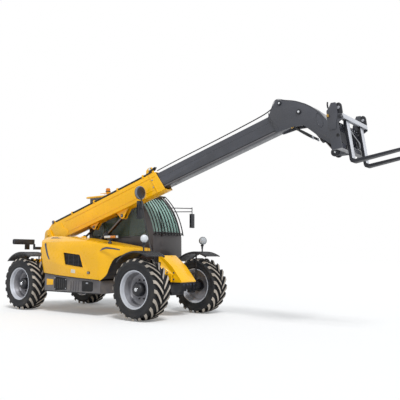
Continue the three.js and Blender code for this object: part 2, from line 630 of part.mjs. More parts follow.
// A barrel and its rod, laid from the foot's eye to the rod's eye.
function cylinder(parent, name, foot, eye, size) {
  const length = Math.hypot(eye[0] - foot[0], eye[1] - foot[1]);
  const group = new THREE.Group();
  group.position.set(foot[0], size.y, foot[1]);
  group.rotation.y = -Math.atan2(eye[1] - foot[1], eye[0] - foot[0]);
  parent.add(group);
  const { barrel, rod, barrelLength, rodLength, footRadius, eyeRadius } = size;
  const body = join(
    bar([footRadius - 12, 0, 0], [barrelLength, 0, 0], barrel, 24),
    bar([barrelLength - 60, 0, 0], [barrelLength - 2, 0, 0], barrel + 8, 24),
    pinY([0, 0], footRadius, -EYE_HALF, EYE_HALF, 24),
  );
  const bore = bar([footRadius + 20, 0, 0], [barrelLength + 5, 0, 0], rod + PIN_PLAY, 20);
  const footBore = pinY([0, 0], size.footBore, -EYE_HALF - 5, EYE_HALF + 5);
  add(group, `${name}_barrel`, cut(body, bore, footBore), blackPlastic());
  const rodBody = join(
    bar([length - rodLength, 0, 0], [length - eyeRadius + 12, 0, 0], rod, 20),
    pinY([length, 0], eyeRadius, -EYE_HALF, EYE_HALF, 24),
  );
  const eyeBore = size.eyeBore ? [pinY([length, 0], size.eyeBore, -EYE_HALF - 5, EYE_HALF + 5)] : [];
  add(group, `${name}_rod`, eyeBore.length ? cut(rodBody, ...eyeBore) : rodBody, chrome());
}

cylinder(machine, 'lift_cylinder', LIFT_FOOT, boomPoint(...LIFT_EYE), {
  y: BOOM_Y, barrel: 58, rod: 32, barrelLength: 1569, rodLength: 1460, footRadius: 46, eyeRadius: 36,
  footBore: LIFT_PIN_RADIUS + PIN_PLAY,
});
cylinder(machine, 'levelling_cylinder', LEVELLING_FOOT, boomPoint(...LEVELLING_EYE), {
  y: BOOM_Y, barrel: 38, rod: 20, barrelLength: 984, rodLength: 890, footRadius: 36, eyeRadius: 28,
  footBore: LEVELLING_PIN_RADIUS + PIN_PLAY,
});
cylinder(boom, 'tilt_cylinder', TILT_FOOT, TILT_EYE, {
  y: 0, barrel: 50, rod: 24, barrelLength: 590, rodLength: 560, footRadius: 40, eyeRadius: 40,
  footBore: 24 + PIN_PLAY, eyeBore: 22 + PIN_PLAY,
});

// ---------------------------------------------------------------- engine pod
const POD_REAR_X = -800;
const POD_FRONT_X = 745;
const SKIRT_BOTTOM_Z = 395;
const SKIRT_TOP_REAR_Z = 712;
const SKIRT_TOP_FRONT_Z = 618;

// Lower skirt: a deep tray hung from the chassis, closed on the outside by the grey side panel.
function sideSkirt() {
  const side = [
    [POD_REAR_X, SKIRT_BOTTOM_Z], [POD_FRONT_X, SKIRT_BOTTOM_Z], [POD_FRONT_X, SKIRT_TOP_FRONT_Z],
    [POD_REAR_X, SKIRT_TOP_REAR_Z],
  ];
  const wall = 20;
  const inner = [
    [POD_REAR_X + wall, SKIRT_BOTTOM_Z + wall], [POD_FRONT_X - wall, SKIRT_BOTTOM_Z + wall],
    [POD_FRONT_X - wall, 900], [POD_REAR_X + wall, 900],
  ];
  const outerY = POD_OUTER_Y + 20;
  const recess = (x0, x1) => block([x0, x1], [outerY - 5, outerY + 12], [SKIRT_BOTTOM_Z + 45, SKIRT_BOTTOM_Z + 215]);
  return cut(
    plateXZ(side, outerY, RAIL_RIGHT_Y - GAP),
    plateXZ(inner, outerY + wall, RAIL_RIGHT_Y - GAP - wall),
    recess(-520, -150), recess(260, 560),
  );
}

function engineBlock() {
  return block([-560, 420], [-800, -290], [SKIRT_BOTTOM_Z + 20 + GAP, 1120]);
}

// The bonnet's lower front edge in side view, over the wheel.
const wheelEdge = (drop) => new THREE.SplineCurve([
  [740, 618], [862, 724], [913, 843], [984, 978], [1104, 1062], [1260, 1114],
].map(([x, z]) => new THREE.Vector2(x + drop * 0.7, z - drop))).getPoints(12).map(({ x, y }) => [x, y]);

// The bonnet's body, shrunk by an inset. It is open underneath and towards the boom.
function bonnetBody(inset) {
  const open = inset > 0 ? 200 : 0;
  const side = [
    [POD_REAR_X - 5 + inset, SKIRT_TOP_REAR_Z + SWING_GAP - open],
    [POD_FRONT_X - 5, SKIRT_TOP_FRONT_Z + SWING_GAP - open],
    ...wheelEdge(-inset).slice(1), [1262 - inset, 1180 - inset], [600, 1280 - inset], [0, 1360 - inset],
    [-500, 1415 - inset], [-800, 1425 - inset], [-980 + inset, 1395 - inset], [-970 + inset, 1250],
    [-900 + inset, 1000],
  ];
  const plan = [
    [-1020, POD_INNER_Y + open], [1280, POD_INNER_Y + open], [1280 - inset, -620 + inset],
    [1020 - inset, -850 + inset], [700, POD_OUTER_Y + inset], [-900 + inset, POD_OUTER_Y + inset],
    [-1020 + inset, POD_OUTER_Y + 90 + inset],
  ];
  const section = [
    [POD_INNER_Y + open, 300], [POD_INNER_Y + open, 1500 - inset], [-560, 1500 - inset], [-760, 1425 - inset],
    [POD_OUTER_Y + 20 + inset, 1310 - inset], [POD_OUTER_Y + inset, 1230], [POD_OUTER_Y + inset, 300],
  ];
  return plateXZ(side, POD_OUTER_Y, POD_INNER_Y + open)
    .intersect(plateXY(plan, 200, 1600)).intersect(plateYZ(section, -1100, 1400));
}

function bonnet() {
  const opening = [[-195, 888], [322, 836], [222, 1072], [-250, 1115]];
  const vent = plateXZ(opening, POD_OUTER_Y - 10, POD_OUTER_Y + POD_SHEET + 5);
  const sleeves = BONNET_HINGE_X.map((x) => cut(
    join(
      bar([x - 44, BONNET_HINGE[0], BONNET_HINGE[1]], [x + 44, BONNET_HINGE[0], BONNET_HINGE[1]], 12, 16),
      block([x - 44, x + 44], [POD_INNER_Y - 20, BONNET_HINGE[0] - 7], [BONNET_HINGE[1] - 14, BONNET_HINGE[1] + 2]),
    ),
    bar([x - 50, BONNET_HINGE[0], BONNET_HINGE[1]], [x + 50, BONNET_HINGE[0], BONNET_HINGE[1]], 6 + PIN_PLAY, 16),
  ));
  return join(cut(bonnetBody(0), bonnetBody(POD_SHEET), vent), ...sleeves);
}

add(machine, 'side_skirt', sideSkirt(), steelGrey());
add(machine, 'engine_block', engineBlock(), castIron());
add(machine, 'engine_bonnet', bonnet(), yellow());

// ---------------------------------------------------------------- left tank, rear weight and lamps
function fuelTank() {
  const side = [[-700, 400], [560, 400], [640, 470], [640, 540], [-740, 540], [-740, 440]];
  return plateXZ(side, RAIL_LEFT_Y + GAP, CAB_LEFT_Y - 20);
}

// Lamp bar at the rear right, on a bracket from the chassis.
function rearLampBar() {
  return join(
    block([-2090, -2030], [-800, -320], [1285, 1395]),
    block([-2050, FRAME_REAR_X - GAP], [-330, RAIL_RIGHT_Y + 40], [1180, 1240]),
    block([-2050, -2030], [-345, -300], [1180, 1300]),
  );
}

add(machine, 'fuel_tank', fuelTank(), blackPlastic());
add(machine, 'rear_lamp_bar', rearLampBar(), blackPlastic());

// ---------------------------------------------------------------- cab
const SCREEN_BULGE = 95;
const screenTop = [CAB_HEADER_X, CAB_TOP_Z];
const screenFoot = [CAB_FRONT_X, CAB_WAIST_Z];

// The windscreen's side profile, offset outwards.
function screenCurve(offset, from = 0, to = 1, steps = 8) {
  const dx = screenTop[0] - screenFoot[0];
  const dz = screenTop[1] - screenFoot[1];
  const length = Math.hypot(dx, dz);
  const normal = [dz / length, -dx / length];
  return Array.from({ length: steps + 1 }, (_, i) => {
    const s = from + (to - from) * i / steps;
    const out = SCREEN_BULGE * 4 * s * (1 - s) + offset;
    return [screenFoot[0] + dx * s + normal[0] * out, screenFoot[1] + dz * s + normal[1] * out];
  });
}

function cabOutline(offset) {
  return [
    [CAB_REAR_X + offset, CAB_FLOOR_Z + offset], [CAB_FRONT_X - 110 - offset, CAB_FLOOR_Z + offset],
    [CAB_FRONT_X + 5 - offset, 1060], ...screenCurve(-offset), [CAB_REAR_X + offset, CAB_TOP_Z - offset],
  ];
}

const DOOR_REAR_X = -470;
const DOOR_FRONT_X = 840;
const DOOR_BOTTOM_Z = 640;

// The door's outline in side view, grown by an offset.
function doorOutline(grow) {
  const lean = (z) => DOOR_FRONT_X + grow - Math.max(0, z - CAB_WAIST_Z) * 0.56;
  const top = CAB_TOP_Z - 60 + grow;
  return [
    [DOOR_REAR_X - grow, DOOR_BOTTOM_Z - grow], [DOOR_FRONT_X - 60 + grow, DOOR_BOTTOM_Z - grow],
    [DOOR_FRONT_X + grow, 1000], [lean(CAB_WAIST_Z), CAB_WAIST_Z], [lean(top), top], [DOOR_REAR_X - grow, top],
  ];
}

function cabShell() {
  const arches = pinY(frontAxle, ARCH_RADIUS, 0, 1100, 48);
  const besideRail = (grow) => block([CAB_REAR_X - 10, CAB_FRONT_X + 20], [0, RAIL_LEFT_Y + GAP + grow],
    [CAB_FLOOR_Z - 10, RAIL_TOP_Z + 10 + grow]);
  const outer = plateXZ(cabOutline(0), CAB_RIGHT_Y, CAB_LEFT_Y).subtract(besideRail(0));
  const inner = plateXZ(cabOutline(CAB_WALL), CAB_RIGHT_Y + CAB_WALL, CAB_LEFT_Y - CAB_WALL)
    .subtract(pinY(frontAxle, ARCH_RADIUS + CAB_WALL, 0, 1100, 48)).subtract(besideRail(CAB_WALL));
  const doorway = plateXZ(doorOutline(DOOR_GAP), CAB_LEFT_Y - CAB_WALL - 5, CAB_LEFT_Y + 5);
  const screen = plateXZ([...screenCurve(20, 0.1, 0.93), ...screenCurve(-CAB_WALL - 10, 0.93, 0.1)],
    CAB_RIGHT_Y + 45, CAB_LEFT_Y - 45);
  const sideWindow = plateXZ(sideWindowOutline(0), CAB_RIGHT_Y - 5, CAB_RIGHT_Y + CAB_WALL + 5);
  const rearWindow = block([CAB_REAR_X - 5, CAB_REAR_X + CAB_WALL + 5], rearWindowY, rearWindowZ);
  const roofHole = block([CAB_REAR_X + 60, CAB_HEADER_X - 60], [CAB_RIGHT_Y + 60, CAB_LEFT_Y - 60],
    [CAB_TOP_Z - 50, CAB_TOP_Z + 20]);
  const shell = cut(outer.subtract(arches), inner, doorway, screen, sideWindow, rearWindow, roofHole);
  return join(shell, ...DOOR_HINGE_Z.map(doorHingePin));
}

const DOOR_HINGE = [-486, CAB_LEFT_Y + 14]; // [x, y]
const DOOR_HINGE_Z = [860, 1880];
const DOOR_HINGE_HALF = 34;

function doorHingePin(z) {
  const lug = (z0, z1) => block([DOOR_HINGE[0] - 11, DOOR_HINGE[0] + 9], [CAB_LEFT_Y - 2, DOOR_HINGE[1] + 9], [z0, z1]);
  return join(
    bar([...DOOR_HINGE, z - 48], [...DOOR_HINGE, z + 48], 6, 12),
    lug(z + DOOR_HINGE_HALF + 2, z + 48), lug(z - 48, z - DOOR_HINGE_HALF - 2),
  );
}

function doorHingeSleeve(z) {
  const height = [z - DOOR_HINGE_HALF, z + DOOR_HINGE_HALF];
  return cut(
    join(
      bar([...DOOR_HINGE, height[0]], [...DOOR_HINGE, height[1]], 11, 16),
      block([DOOR_HINGE[0], DOOR_REAR_X + 50], [CAB_LEFT_Y + 2, CAB_LEFT_Y + 9], height),
      block([DOOR_REAR_X + 6, DOOR_REAR_X + 50], [CAB_LEFT_Y - 2, CAB_LEFT_Y + 4], height),
    ),
    bar([...DOOR_HINGE, z - 50], [...DOOR_HINGE, z + 50], 6 + PIN_PLAY, 16),
  );
}

const rearWindowY = [CAB_RIGHT_Y + 70, CAB_LEFT_Y - 70];
const rearWindowZ = [1450, 2130];
const sideWindowOutline = (inset) => {
  const bottom = CAB_WAIST_Z + 20 + inset;
  const top = CAB_TOP_Z - 80 - inset;
  return [
    [CAB_REAR_X + 90 + inset, bottom], [CAB_FRONT_X - 110 - inset, bottom],
    [CAB_FRONT_X - 250 - inset, 1850], [CAB_HEADER_X - 30 - inset, top], [CAB_REAR_X + 90 + inset, top],
  ];
};

function cabRoof() {
  const foot = CAB_TOP_Z + GAP;
  const outline = [
    [CAB_REAR_X - 120, foot + 8], [CAB_REAR_X - 100, foot], [CAB_HEADER_X + 30, foot], [CAB_HEADER_X + 50, foot + 14],
    [CAB_HEADER_X - 60, foot + ROOF_HEIGHT], [CAB_REAR_X - 90, foot + ROOF_HEIGHT],
    [CAB_REAR_X - 120, foot + ROOF_HEIGHT - 14],
  ];
  const crown = [
    [CAB_RIGHT_Y + 90, foot + ROOF_HEIGHT - 5], [CAB_LEFT_Y - 90, foot + ROOF_HEIGHT - 5],
    [CAB_LEFT_Y - 190, foot + ROOF_HEIGHT + ROOF_CROWN], [CAB_RIGHT_Y + 190, foot + ROOF_HEIGHT + ROOF_CROWN],
  ];
  return join(
    plateXZ(outline, CAB_RIGHT_Y - 5, CAB_LEFT_Y + 15),
    plateYZ(crown, CAB_REAR_X + 40, CAB_HEADER_X - 180),
    bar([...BEACON, foot + ROOF_HEIGHT - 5], [...BEACON, BEACON_TOP_Z - 82], 30, 16),
    bar([...BEACON, BEACON_TOP_Z - 96], [...BEACON, BEACON_TOP_Z - 82], 50, 20),
  );
}

const BEACON = [-390, 250]; // [x, y]

const beacon = () => join(
  bar([...BEACON, BEACON_TOP_Z - 82 + GAP], [...BEACON, BEACON_TOP_Z - 17], 52, 20),
  bar([...BEACON, BEACON_TOP_Z - 20], [...BEACON, BEACON_TOP_Z], 38, 20),
);

function windscreen() {
  const inset = 0.0006;
  return plateXZ([...screenCurve(-8, 0.1 + inset, 0.93 - inset), ...screenCurve(-8 - GLASS, 0.93 - inset, 0.1 + inset)],
    CAB_RIGHT_Y + 45 + GAP, CAB_LEFT_Y - 45 - GAP);
}

const sideGlass = () => plateXZ(sideWindowOutline(GAP), CAB_RIGHT_Y + 8, CAB_RIGHT_Y + 8 + GLASS);
const rearGlass = () => block([CAB_REAR_X + 8, CAB_REAR_X + 8 + GLASS],
  [rearWindowY[0] + GAP, rearWindowY[1] - GAP], [rearWindowZ[0] + GAP, rearWindowZ[1] - GAP]);

const GUARD_BARS = 10;
const GUARD_STANDOFF = 62;
const GUARD_BAR_WIDTH = 24;

// Curved bars in front of the windscreen, on two cross rails with feet on the cab.
function screenGuard() {
  const strip = (y, width) => plateXZ([...screenCurve(GUARD_STANDOFF + 10, 0.0, 0.97),
    ...screenCurve(GUARD_STANDOFF, 0.97, 0.0)], y - width / 2, y + width / 2);
  const first = CAB_RIGHT_Y + 20;
  const pitch = (CAB_LEFT_Y - CAB_RIGHT_Y - 40) / (GUARD_BARS - 1);
  const bars = Array.from({ length: GUARD_BARS }, (_, i) => strip(first + i * pitch, GUARD_BAR_WIDTH));
  const rail = (s) => {
    const [point] = screenCurve(GUARD_STANDOFF + 5, s, s, 1);
    return bar([point[0], first - 12, point[1]], [point[0], CAB_LEFT_Y - 14, point[1]], 9, 8);
  };
  const foot = (s, y) => {
    const [outer] = screenCurve(GUARD_STANDOFF + 4, s, s, 1);
    const [inner] = screenCurve(2.4, s, s, 1);
    return bar([inner[0], y, inner[1]], [outer[0], y, outer[1]], 9, 8);
  };
  const feet = [0.04, 0.955].flatMap((s) => [first, first + pitch * (GUARD_BARS - 1)].map((y) => foot(s, y)));
  return join(...bars, rail(0.04), rail(0.955), ...feet);
}

const DOOR_THICKNESS = CAB_WALL;
const doorY = [CAB_LEFT_Y - DOOR_THICKNESS, CAB_LEFT_Y];
const doorWindow = (inset) => {
  const lean = (z) => DOOR_FRONT_X - 55 - inset - Math.max(0, z - CAB_WAIST_Z) * 0.56;
  const top = CAB_TOP_Z - 120 - inset;
  return [
    [DOOR_REAR_X + 60 + inset, 1260 + inset], [DOOR_FRONT_X - 60 - inset, 1260 + inset],
    [lean(CAB_WAIST_Z), CAB_WAIST_Z], [lean(top), top], [DOOR_REAR_X + 60 + inset, top],
  ];
};

function cabDoor() {
  const arch = pinY(frontAxle, ARCH_RADIUS + 12, 0, 1100, 48);
  const panel = cut(plateXZ(doorOutline(0), ...doorY), arch, plateXZ(doorWindow(0), doorY[0] - 5, doorY[1] + 5));
  return join(panel, ...DOOR_HINGE_Z.map(doorHingeSleeve));
}

const doorGlass = () => plateXZ(doorWindow(GAP), CAB_LEFT_Y - 20, CAB_LEFT_Y - 20 + GLASS);

const FLOOR_TOP_Z = CAB_FLOOR_Z + CAB_WALL;
const SEAT_Y = (CAB_RIGHT_Y + CAB_LEFT_Y) / 2;

function seat() {
  const cushion = plateXZ([[-420, 980], [60, 980], [90, 1020], [70, 1090], [-400, 1070]], SEAT_Y - 240, SEAT_Y + 240);
  const back = plateXZ([[-500, 1040], [-380, 1040], [-460, 1620], [-500, 1760], [-570, 1760], [-570, 1600]],
    SEAT_Y - 225, SEAT_Y + 225);
  const base = block([-340, -20], [SEAT_Y - 170, SEAT_Y + 170], [FLOOR_TOP_Z + GAP, 990]);
  return join(cushion, back, base);
}

function controlConsole() {
  const tower = plateXZ([[560, FLOOR_TOP_Z + GAP], [700, FLOOR_TOP_Z + GAP], [800, 1180], [780, 1330], [600, 1300]],
    SEAT_Y - 170, SEAT_Y + 170);
  const wheelCentre = new THREE.Vector3(470, SEAT_Y, 1450);
  const tilt = new THREE.Quaternion().setFromUnitVectors(Y, new THREE.Vector3(-0.5, 0, 0.866));
  const ring = new THREE.TorusGeometry(185, 14, 8, 24).rotateX(Math.PI / 2);
  ring.applyQuaternion(tilt).translate(...wheelCentre);
  const spoke = new THREE.BoxGeometry(372, 12, 40).applyQuaternion(tilt).translate(...wheelCentre);
  return join(tower, bar([650, SEAT_Y, 1200], [470, SEAT_Y, 1455], 34, 12), toSolid(ring), toSolid(spoke));
}

add(machine, 'cab_shell', cabShell(), cabGrey());
add(machine, 'cab_roof', cabRoof(), yellow());
add(machine, 'beacon', beacon(), orange());
add(machine, 'windscreen', windscreen(), glass());
add(machine, 'cab_side_glass', sideGlass(), glass());
add(machine, 'cab_rear_glass', rearGlass(), glass());
add(machine, 'windscreen_guard', screenGuard(), blackPlastic());
add(machine, 'cab_door', cabDoor(), cabGrey());
add(machine, 'door_glass', doorGlass(), glass());
add(machine, 'seat', seat(), blackPlastic());
add(machine, 'control_console', controlConsole(), blackPlastic());

// ---------------------------------------------------------------- mirrors
// Tall stalk from the nose with a round and a long mirror, ahead of the boom on the right.
function rightMirrors() {
  const foot = [1460, -330, 900];
  const bend = [1290, -350, 1395];
  const top = [1105, -350, 2180];
  return join(
    block([1440, 1480], [-340, railRight[0] + 12 - GAP], [880, 940]),
    bar(foot, bend, 13, 10), bar(bend, top, 13, 10),
    bar([1085, -350, 2170], [1125, -350, 2170], 120, 20),
    bar([1185, -350, 1885], [1110, -350, 1885], 9, 8),
    block([1095, 1125], [-420, -290], [1705, 2020]),
  );
}

function leftMirror() {
  return join(
    block([655, 700], [CAB_LEFT_Y + GAP, CAB_LEFT_Y + 10], [1900, 2035]),
    bar([680, CAB_LEFT_Y + 8, 2010], [1120, 1120, 1990], 9, 8),
    bar([680, CAB_LEFT_Y + 8, 1930], [1120, 1120, 1925], 9, 8),
    bar([1120, 1120, 2010], [1120, 1120, 1800], 9, 8),
    block([1100, 1140], [1064, 1174], [1600, 1880]),
  );
}

add(machine, 'right_mirrors', rightMirrors(), blackPlastic());
add(machine, 'left_mirror', leftMirror(), blackPlastic());

// ---------------------------------------------------------------- origin on the ground, at the box's centre
machine.updateMatrixWorld(true);
const bounds = new THREE.Box3().setFromObject(machine);
machine.position.set(-(bounds.min.x + bounds.max.x) / 2, -(bounds.min.y + bounds.max.y) / 2, -bounds.min.z);

export default machine;
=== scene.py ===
"""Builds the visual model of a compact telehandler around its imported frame."""

import math
from contextlib import contextmanager

import bmesh
import bpy
from bpy.props import FloatProperty, FloatVectorProperty, IntProperty, PointerProperty
from mathutils import Matrix, Vector


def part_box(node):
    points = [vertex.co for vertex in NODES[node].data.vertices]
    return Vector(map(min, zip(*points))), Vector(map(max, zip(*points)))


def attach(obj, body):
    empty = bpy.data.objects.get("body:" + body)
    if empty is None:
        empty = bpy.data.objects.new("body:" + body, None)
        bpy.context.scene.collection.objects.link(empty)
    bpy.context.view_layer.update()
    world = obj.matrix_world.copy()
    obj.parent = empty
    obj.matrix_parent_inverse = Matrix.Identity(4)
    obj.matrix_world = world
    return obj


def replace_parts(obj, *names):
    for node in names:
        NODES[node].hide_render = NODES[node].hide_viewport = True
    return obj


bl_info = {
    "name": "Telehandler",
    "version": (1, 0, 0),
    "blender": (4, 5, 0),
    "location": "View3D > Sidebar > Telehandler",
    "description": "Builds the tyres, bodywork, boom, cab and stage of a telehandler on its frame",
    "category": "Object",
}

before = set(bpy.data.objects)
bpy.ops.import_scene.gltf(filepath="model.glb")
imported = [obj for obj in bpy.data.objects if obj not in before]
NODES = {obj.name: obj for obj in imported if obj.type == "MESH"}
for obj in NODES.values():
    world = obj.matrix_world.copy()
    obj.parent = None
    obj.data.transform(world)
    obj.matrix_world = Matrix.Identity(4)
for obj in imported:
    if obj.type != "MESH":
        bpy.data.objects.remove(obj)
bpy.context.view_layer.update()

# ------------------------------------------------------------------ frames, in millimetres
BOOM_ANGLE = math.radians(16)
BOOM_PIVOT = (-1725, -75, 1490)
TILT_PIVOT = (6552, 0, -641)
CARRIAGE_TURN = math.radians(8)
HALF_WHEELBASE = 1580
HALF_TRACK = 790
SIDE_OF_BONNET = -950
CORNERS = [(end, side) for end in ("front", "rear") for side in ("right", "left")]


def centre(node_name):
    low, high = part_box(node_name)
    return (low + high) / 2


def machine_matrix():
    """The machine's own frame: +X forward, +Y left, origin on the ground between the axles."""
    right, left = centre("front_right_rim"), centre("rear_left_rim")
    return Matrix.Translation(((right.x + left.x) / 2, (right.y + left.y) / 2, 0)) @ Matrix.Scale(0.001, 4)


MACHINE = machine_matrix()
AXLE_HEIGHT = centre("front_right_rim").z * 1000
BOOM = MACHINE @ Matrix.Translation(BOOM_PIVOT) @ Matrix.Rotation(-BOOM_ANGLE, 4, "Y")
CARRIAGE = BOOM @ Matrix.Translation(TILT_PIVOT) @ Matrix.Rotation(CARRIAGE_TURN, 4, "Y")


def wheel_matrix(end, side):
    """A wheel's centre, with +Y towards the machine's outside: the right side is a mirror of the left."""
    x = HALF_WHEELBASE if end == "front" else -HALF_WHEELBASE
    y = HALF_TRACK if side == "left" else -HALF_TRACK
    mirror = Matrix.Identity(4) if side == "left" else Matrix.Scale(-1, 4, (0, 1, 0))
    return MACHINE @ Matrix.Translation((x, y, AXLE_HEIGHT)) @ mirror


# ------------------------------------------------------------------ node trees
def link(tree, kind, inputs=None, **settings):
    """A node with its settings, and its inputs set or linked."""
    made = tree.nodes.new(kind)
    for key, value in settings.items():
        setattr(made, key, value)
    for key, value in (inputs or {}).items():
        socket = made.inputs[key]
        if isinstance(value, bpy.types.NodeSocket):
            tree.links.new(value, socket)
        else:
            socket.default_value = value
    return made


def rgb(red, green, blue):
    """An sRGB colour as the linear one that shaders take."""
    def linear(value):
        value /= 255
        return value / 12.92 if value <= 0.04045 else ((value + 0.055) / 1.055) ** 2.4
    return (linear(red), linear(green), linear(blue), 1.0)


def scaled(colour, factor):
    return tuple(min(1.0, c * factor) for c in colour[:3]) + (1.0,)


def noise(tree, coords, scale, detail=4.0):
    made = link(tree, "ShaderNodeTexNoise", {"Vector": coords, "Scale": scale, "Detail": detail})
    return made.outputs["Fac"]


def span(tree, value, low, high, out_low=0.0, out_high=1.0):
    made = link(tree, "ShaderNodeMapRange", {"Value": value, "From Min": low, "From Max": high,
                                             "To Min": out_low, "To Max": out_high})
    return made.outputs["Result"]


def times(tree, first, second):
    return link(tree, "ShaderNodeMath", {0: first, 1: second}, operation="MULTIPLY").outputs[0]


def blended(tree, factor, first, second):
    made = link(tree, "ShaderNodeMix", {0: factor, 6: first, 7: second}, data_type="RGBA")
    return made.outputs[2]


DUST = rgb(150, 141, 128)
BARE_STEEL = rgb(120, 116, 112)


def edge_wear(tree, coords, amount):
    """A mask of the rubbed outer edges, broken up by noise."""
    rounded = link(tree, "ShaderNodeBevel", {"Radius": 0.006}, samples=4).outputs[0]
    flat = link(tree, "ShaderNodeNewGeometry").outputs["Normal"]
    dot = link(tree, "ShaderNodeVectorMath", {0: rounded, 1: flat}, operation="DOT_PRODUCT").outputs["Value"]
    edge = span(tree, dot, 0.985, 0.90)
    spots = span(tree, noise(tree, coords, 28, 6), 0.50, 0.66)
    return times(tree, times(tree, edge, spots), amount)


def material(name, colour, roughness=0.4, metallic=0.0, coat=0.0, grain=500.0, bump=0.08, spread=0.06,
             dust=0.0, wear=0.0, **sockets):
    """A finish with slow colour drift, uneven gloss, fine grain, road dust low down and rubbed edges."""
    made = bpy.data.materials.new(name)
    made.use_nodes = True
    tree = made.node_tree
    shader = tree.nodes["Principled BSDF"]
    coords = link(tree, "ShaderNodeTexCoord").outputs["Object"]
    drift = span(tree, noise(tree, coords, 2.6), 0.35, 0.65)
    base = blended(tree, drift, scaled(colour, 1 - spread), scaled(colour, 1 + spread))
    if dust:
        height = link(tree, "ShaderNodeSeparateXYZ", {0: coords}).outputs["Z"]
        low = span(tree, height, 1.5, 0.2, 0.25, 1.0)
        patch = span(tree, noise(tree, coords, 7.0, 8), 0.42, 0.75)
        base = blended(tree, times(tree, times(tree, patch, low), dust), base, DUST)
    if wear:
        base = blended(tree, edge_wear(tree, coords, wear), base, BARE_STEEL)
    tree.links.new(base, shader.inputs["Base Color"])
    gloss = span(tree, noise(tree, coords, 14.0, 6), 0.3, 0.7, roughness - 0.07, roughness + 0.09)
    tree.links.new(gloss, shader.inputs["Roughness"])
    bumps = link(tree, "ShaderNodeBump", {"Strength": bump, "Distance": 0.0012,
                                          "Height": noise(tree, coords, grain, 3)})
    tree.links.new(bumps.outputs[0], shader.inputs["Normal"])
    shader.inputs["Metallic"].default_value = metallic
    shader.inputs["Coat Weight"].default_value = coat
    for socket, value in sockets.items():
        shader.inputs[socket.replace("_", " ")].default_value = value
    return made


def paint(name, colour, roughness=0.36, **extra):
    """A finish from an sRGB colour."""
    return material(name, rgb(*colour), roughness, **extra)


def seat_fabric():
    """Dark woven cloth: two crossed waves for the threads."""
    made = material("seat cloth", rgb(46, 47, 50), 0.85, bump=0.2, Sheen_Weight=0.3)
    tree = made.node_tree
    coords = tree.nodes["Texture Coordinate"].outputs["Object"]
    waves = [link(tree, "ShaderNodeTexWave", {"Vector": coords, "Scale": 260.0, "Distortion": 0.6},
                  bands_direction=direction).outputs["Fac"] for direction in ("X", "Z")]
    weave = times(tree, waves[0], waves[1])
    shader = tree.nodes["Principled BSDF"]
    bumps = link(tree, "ShaderNodeBump", {"Strength": 0.5, "Distance": 0.001, "Height": weave})
    tree.links.new(bumps.outputs[0], shader.inputs["Normal"])
    return made


M = {}


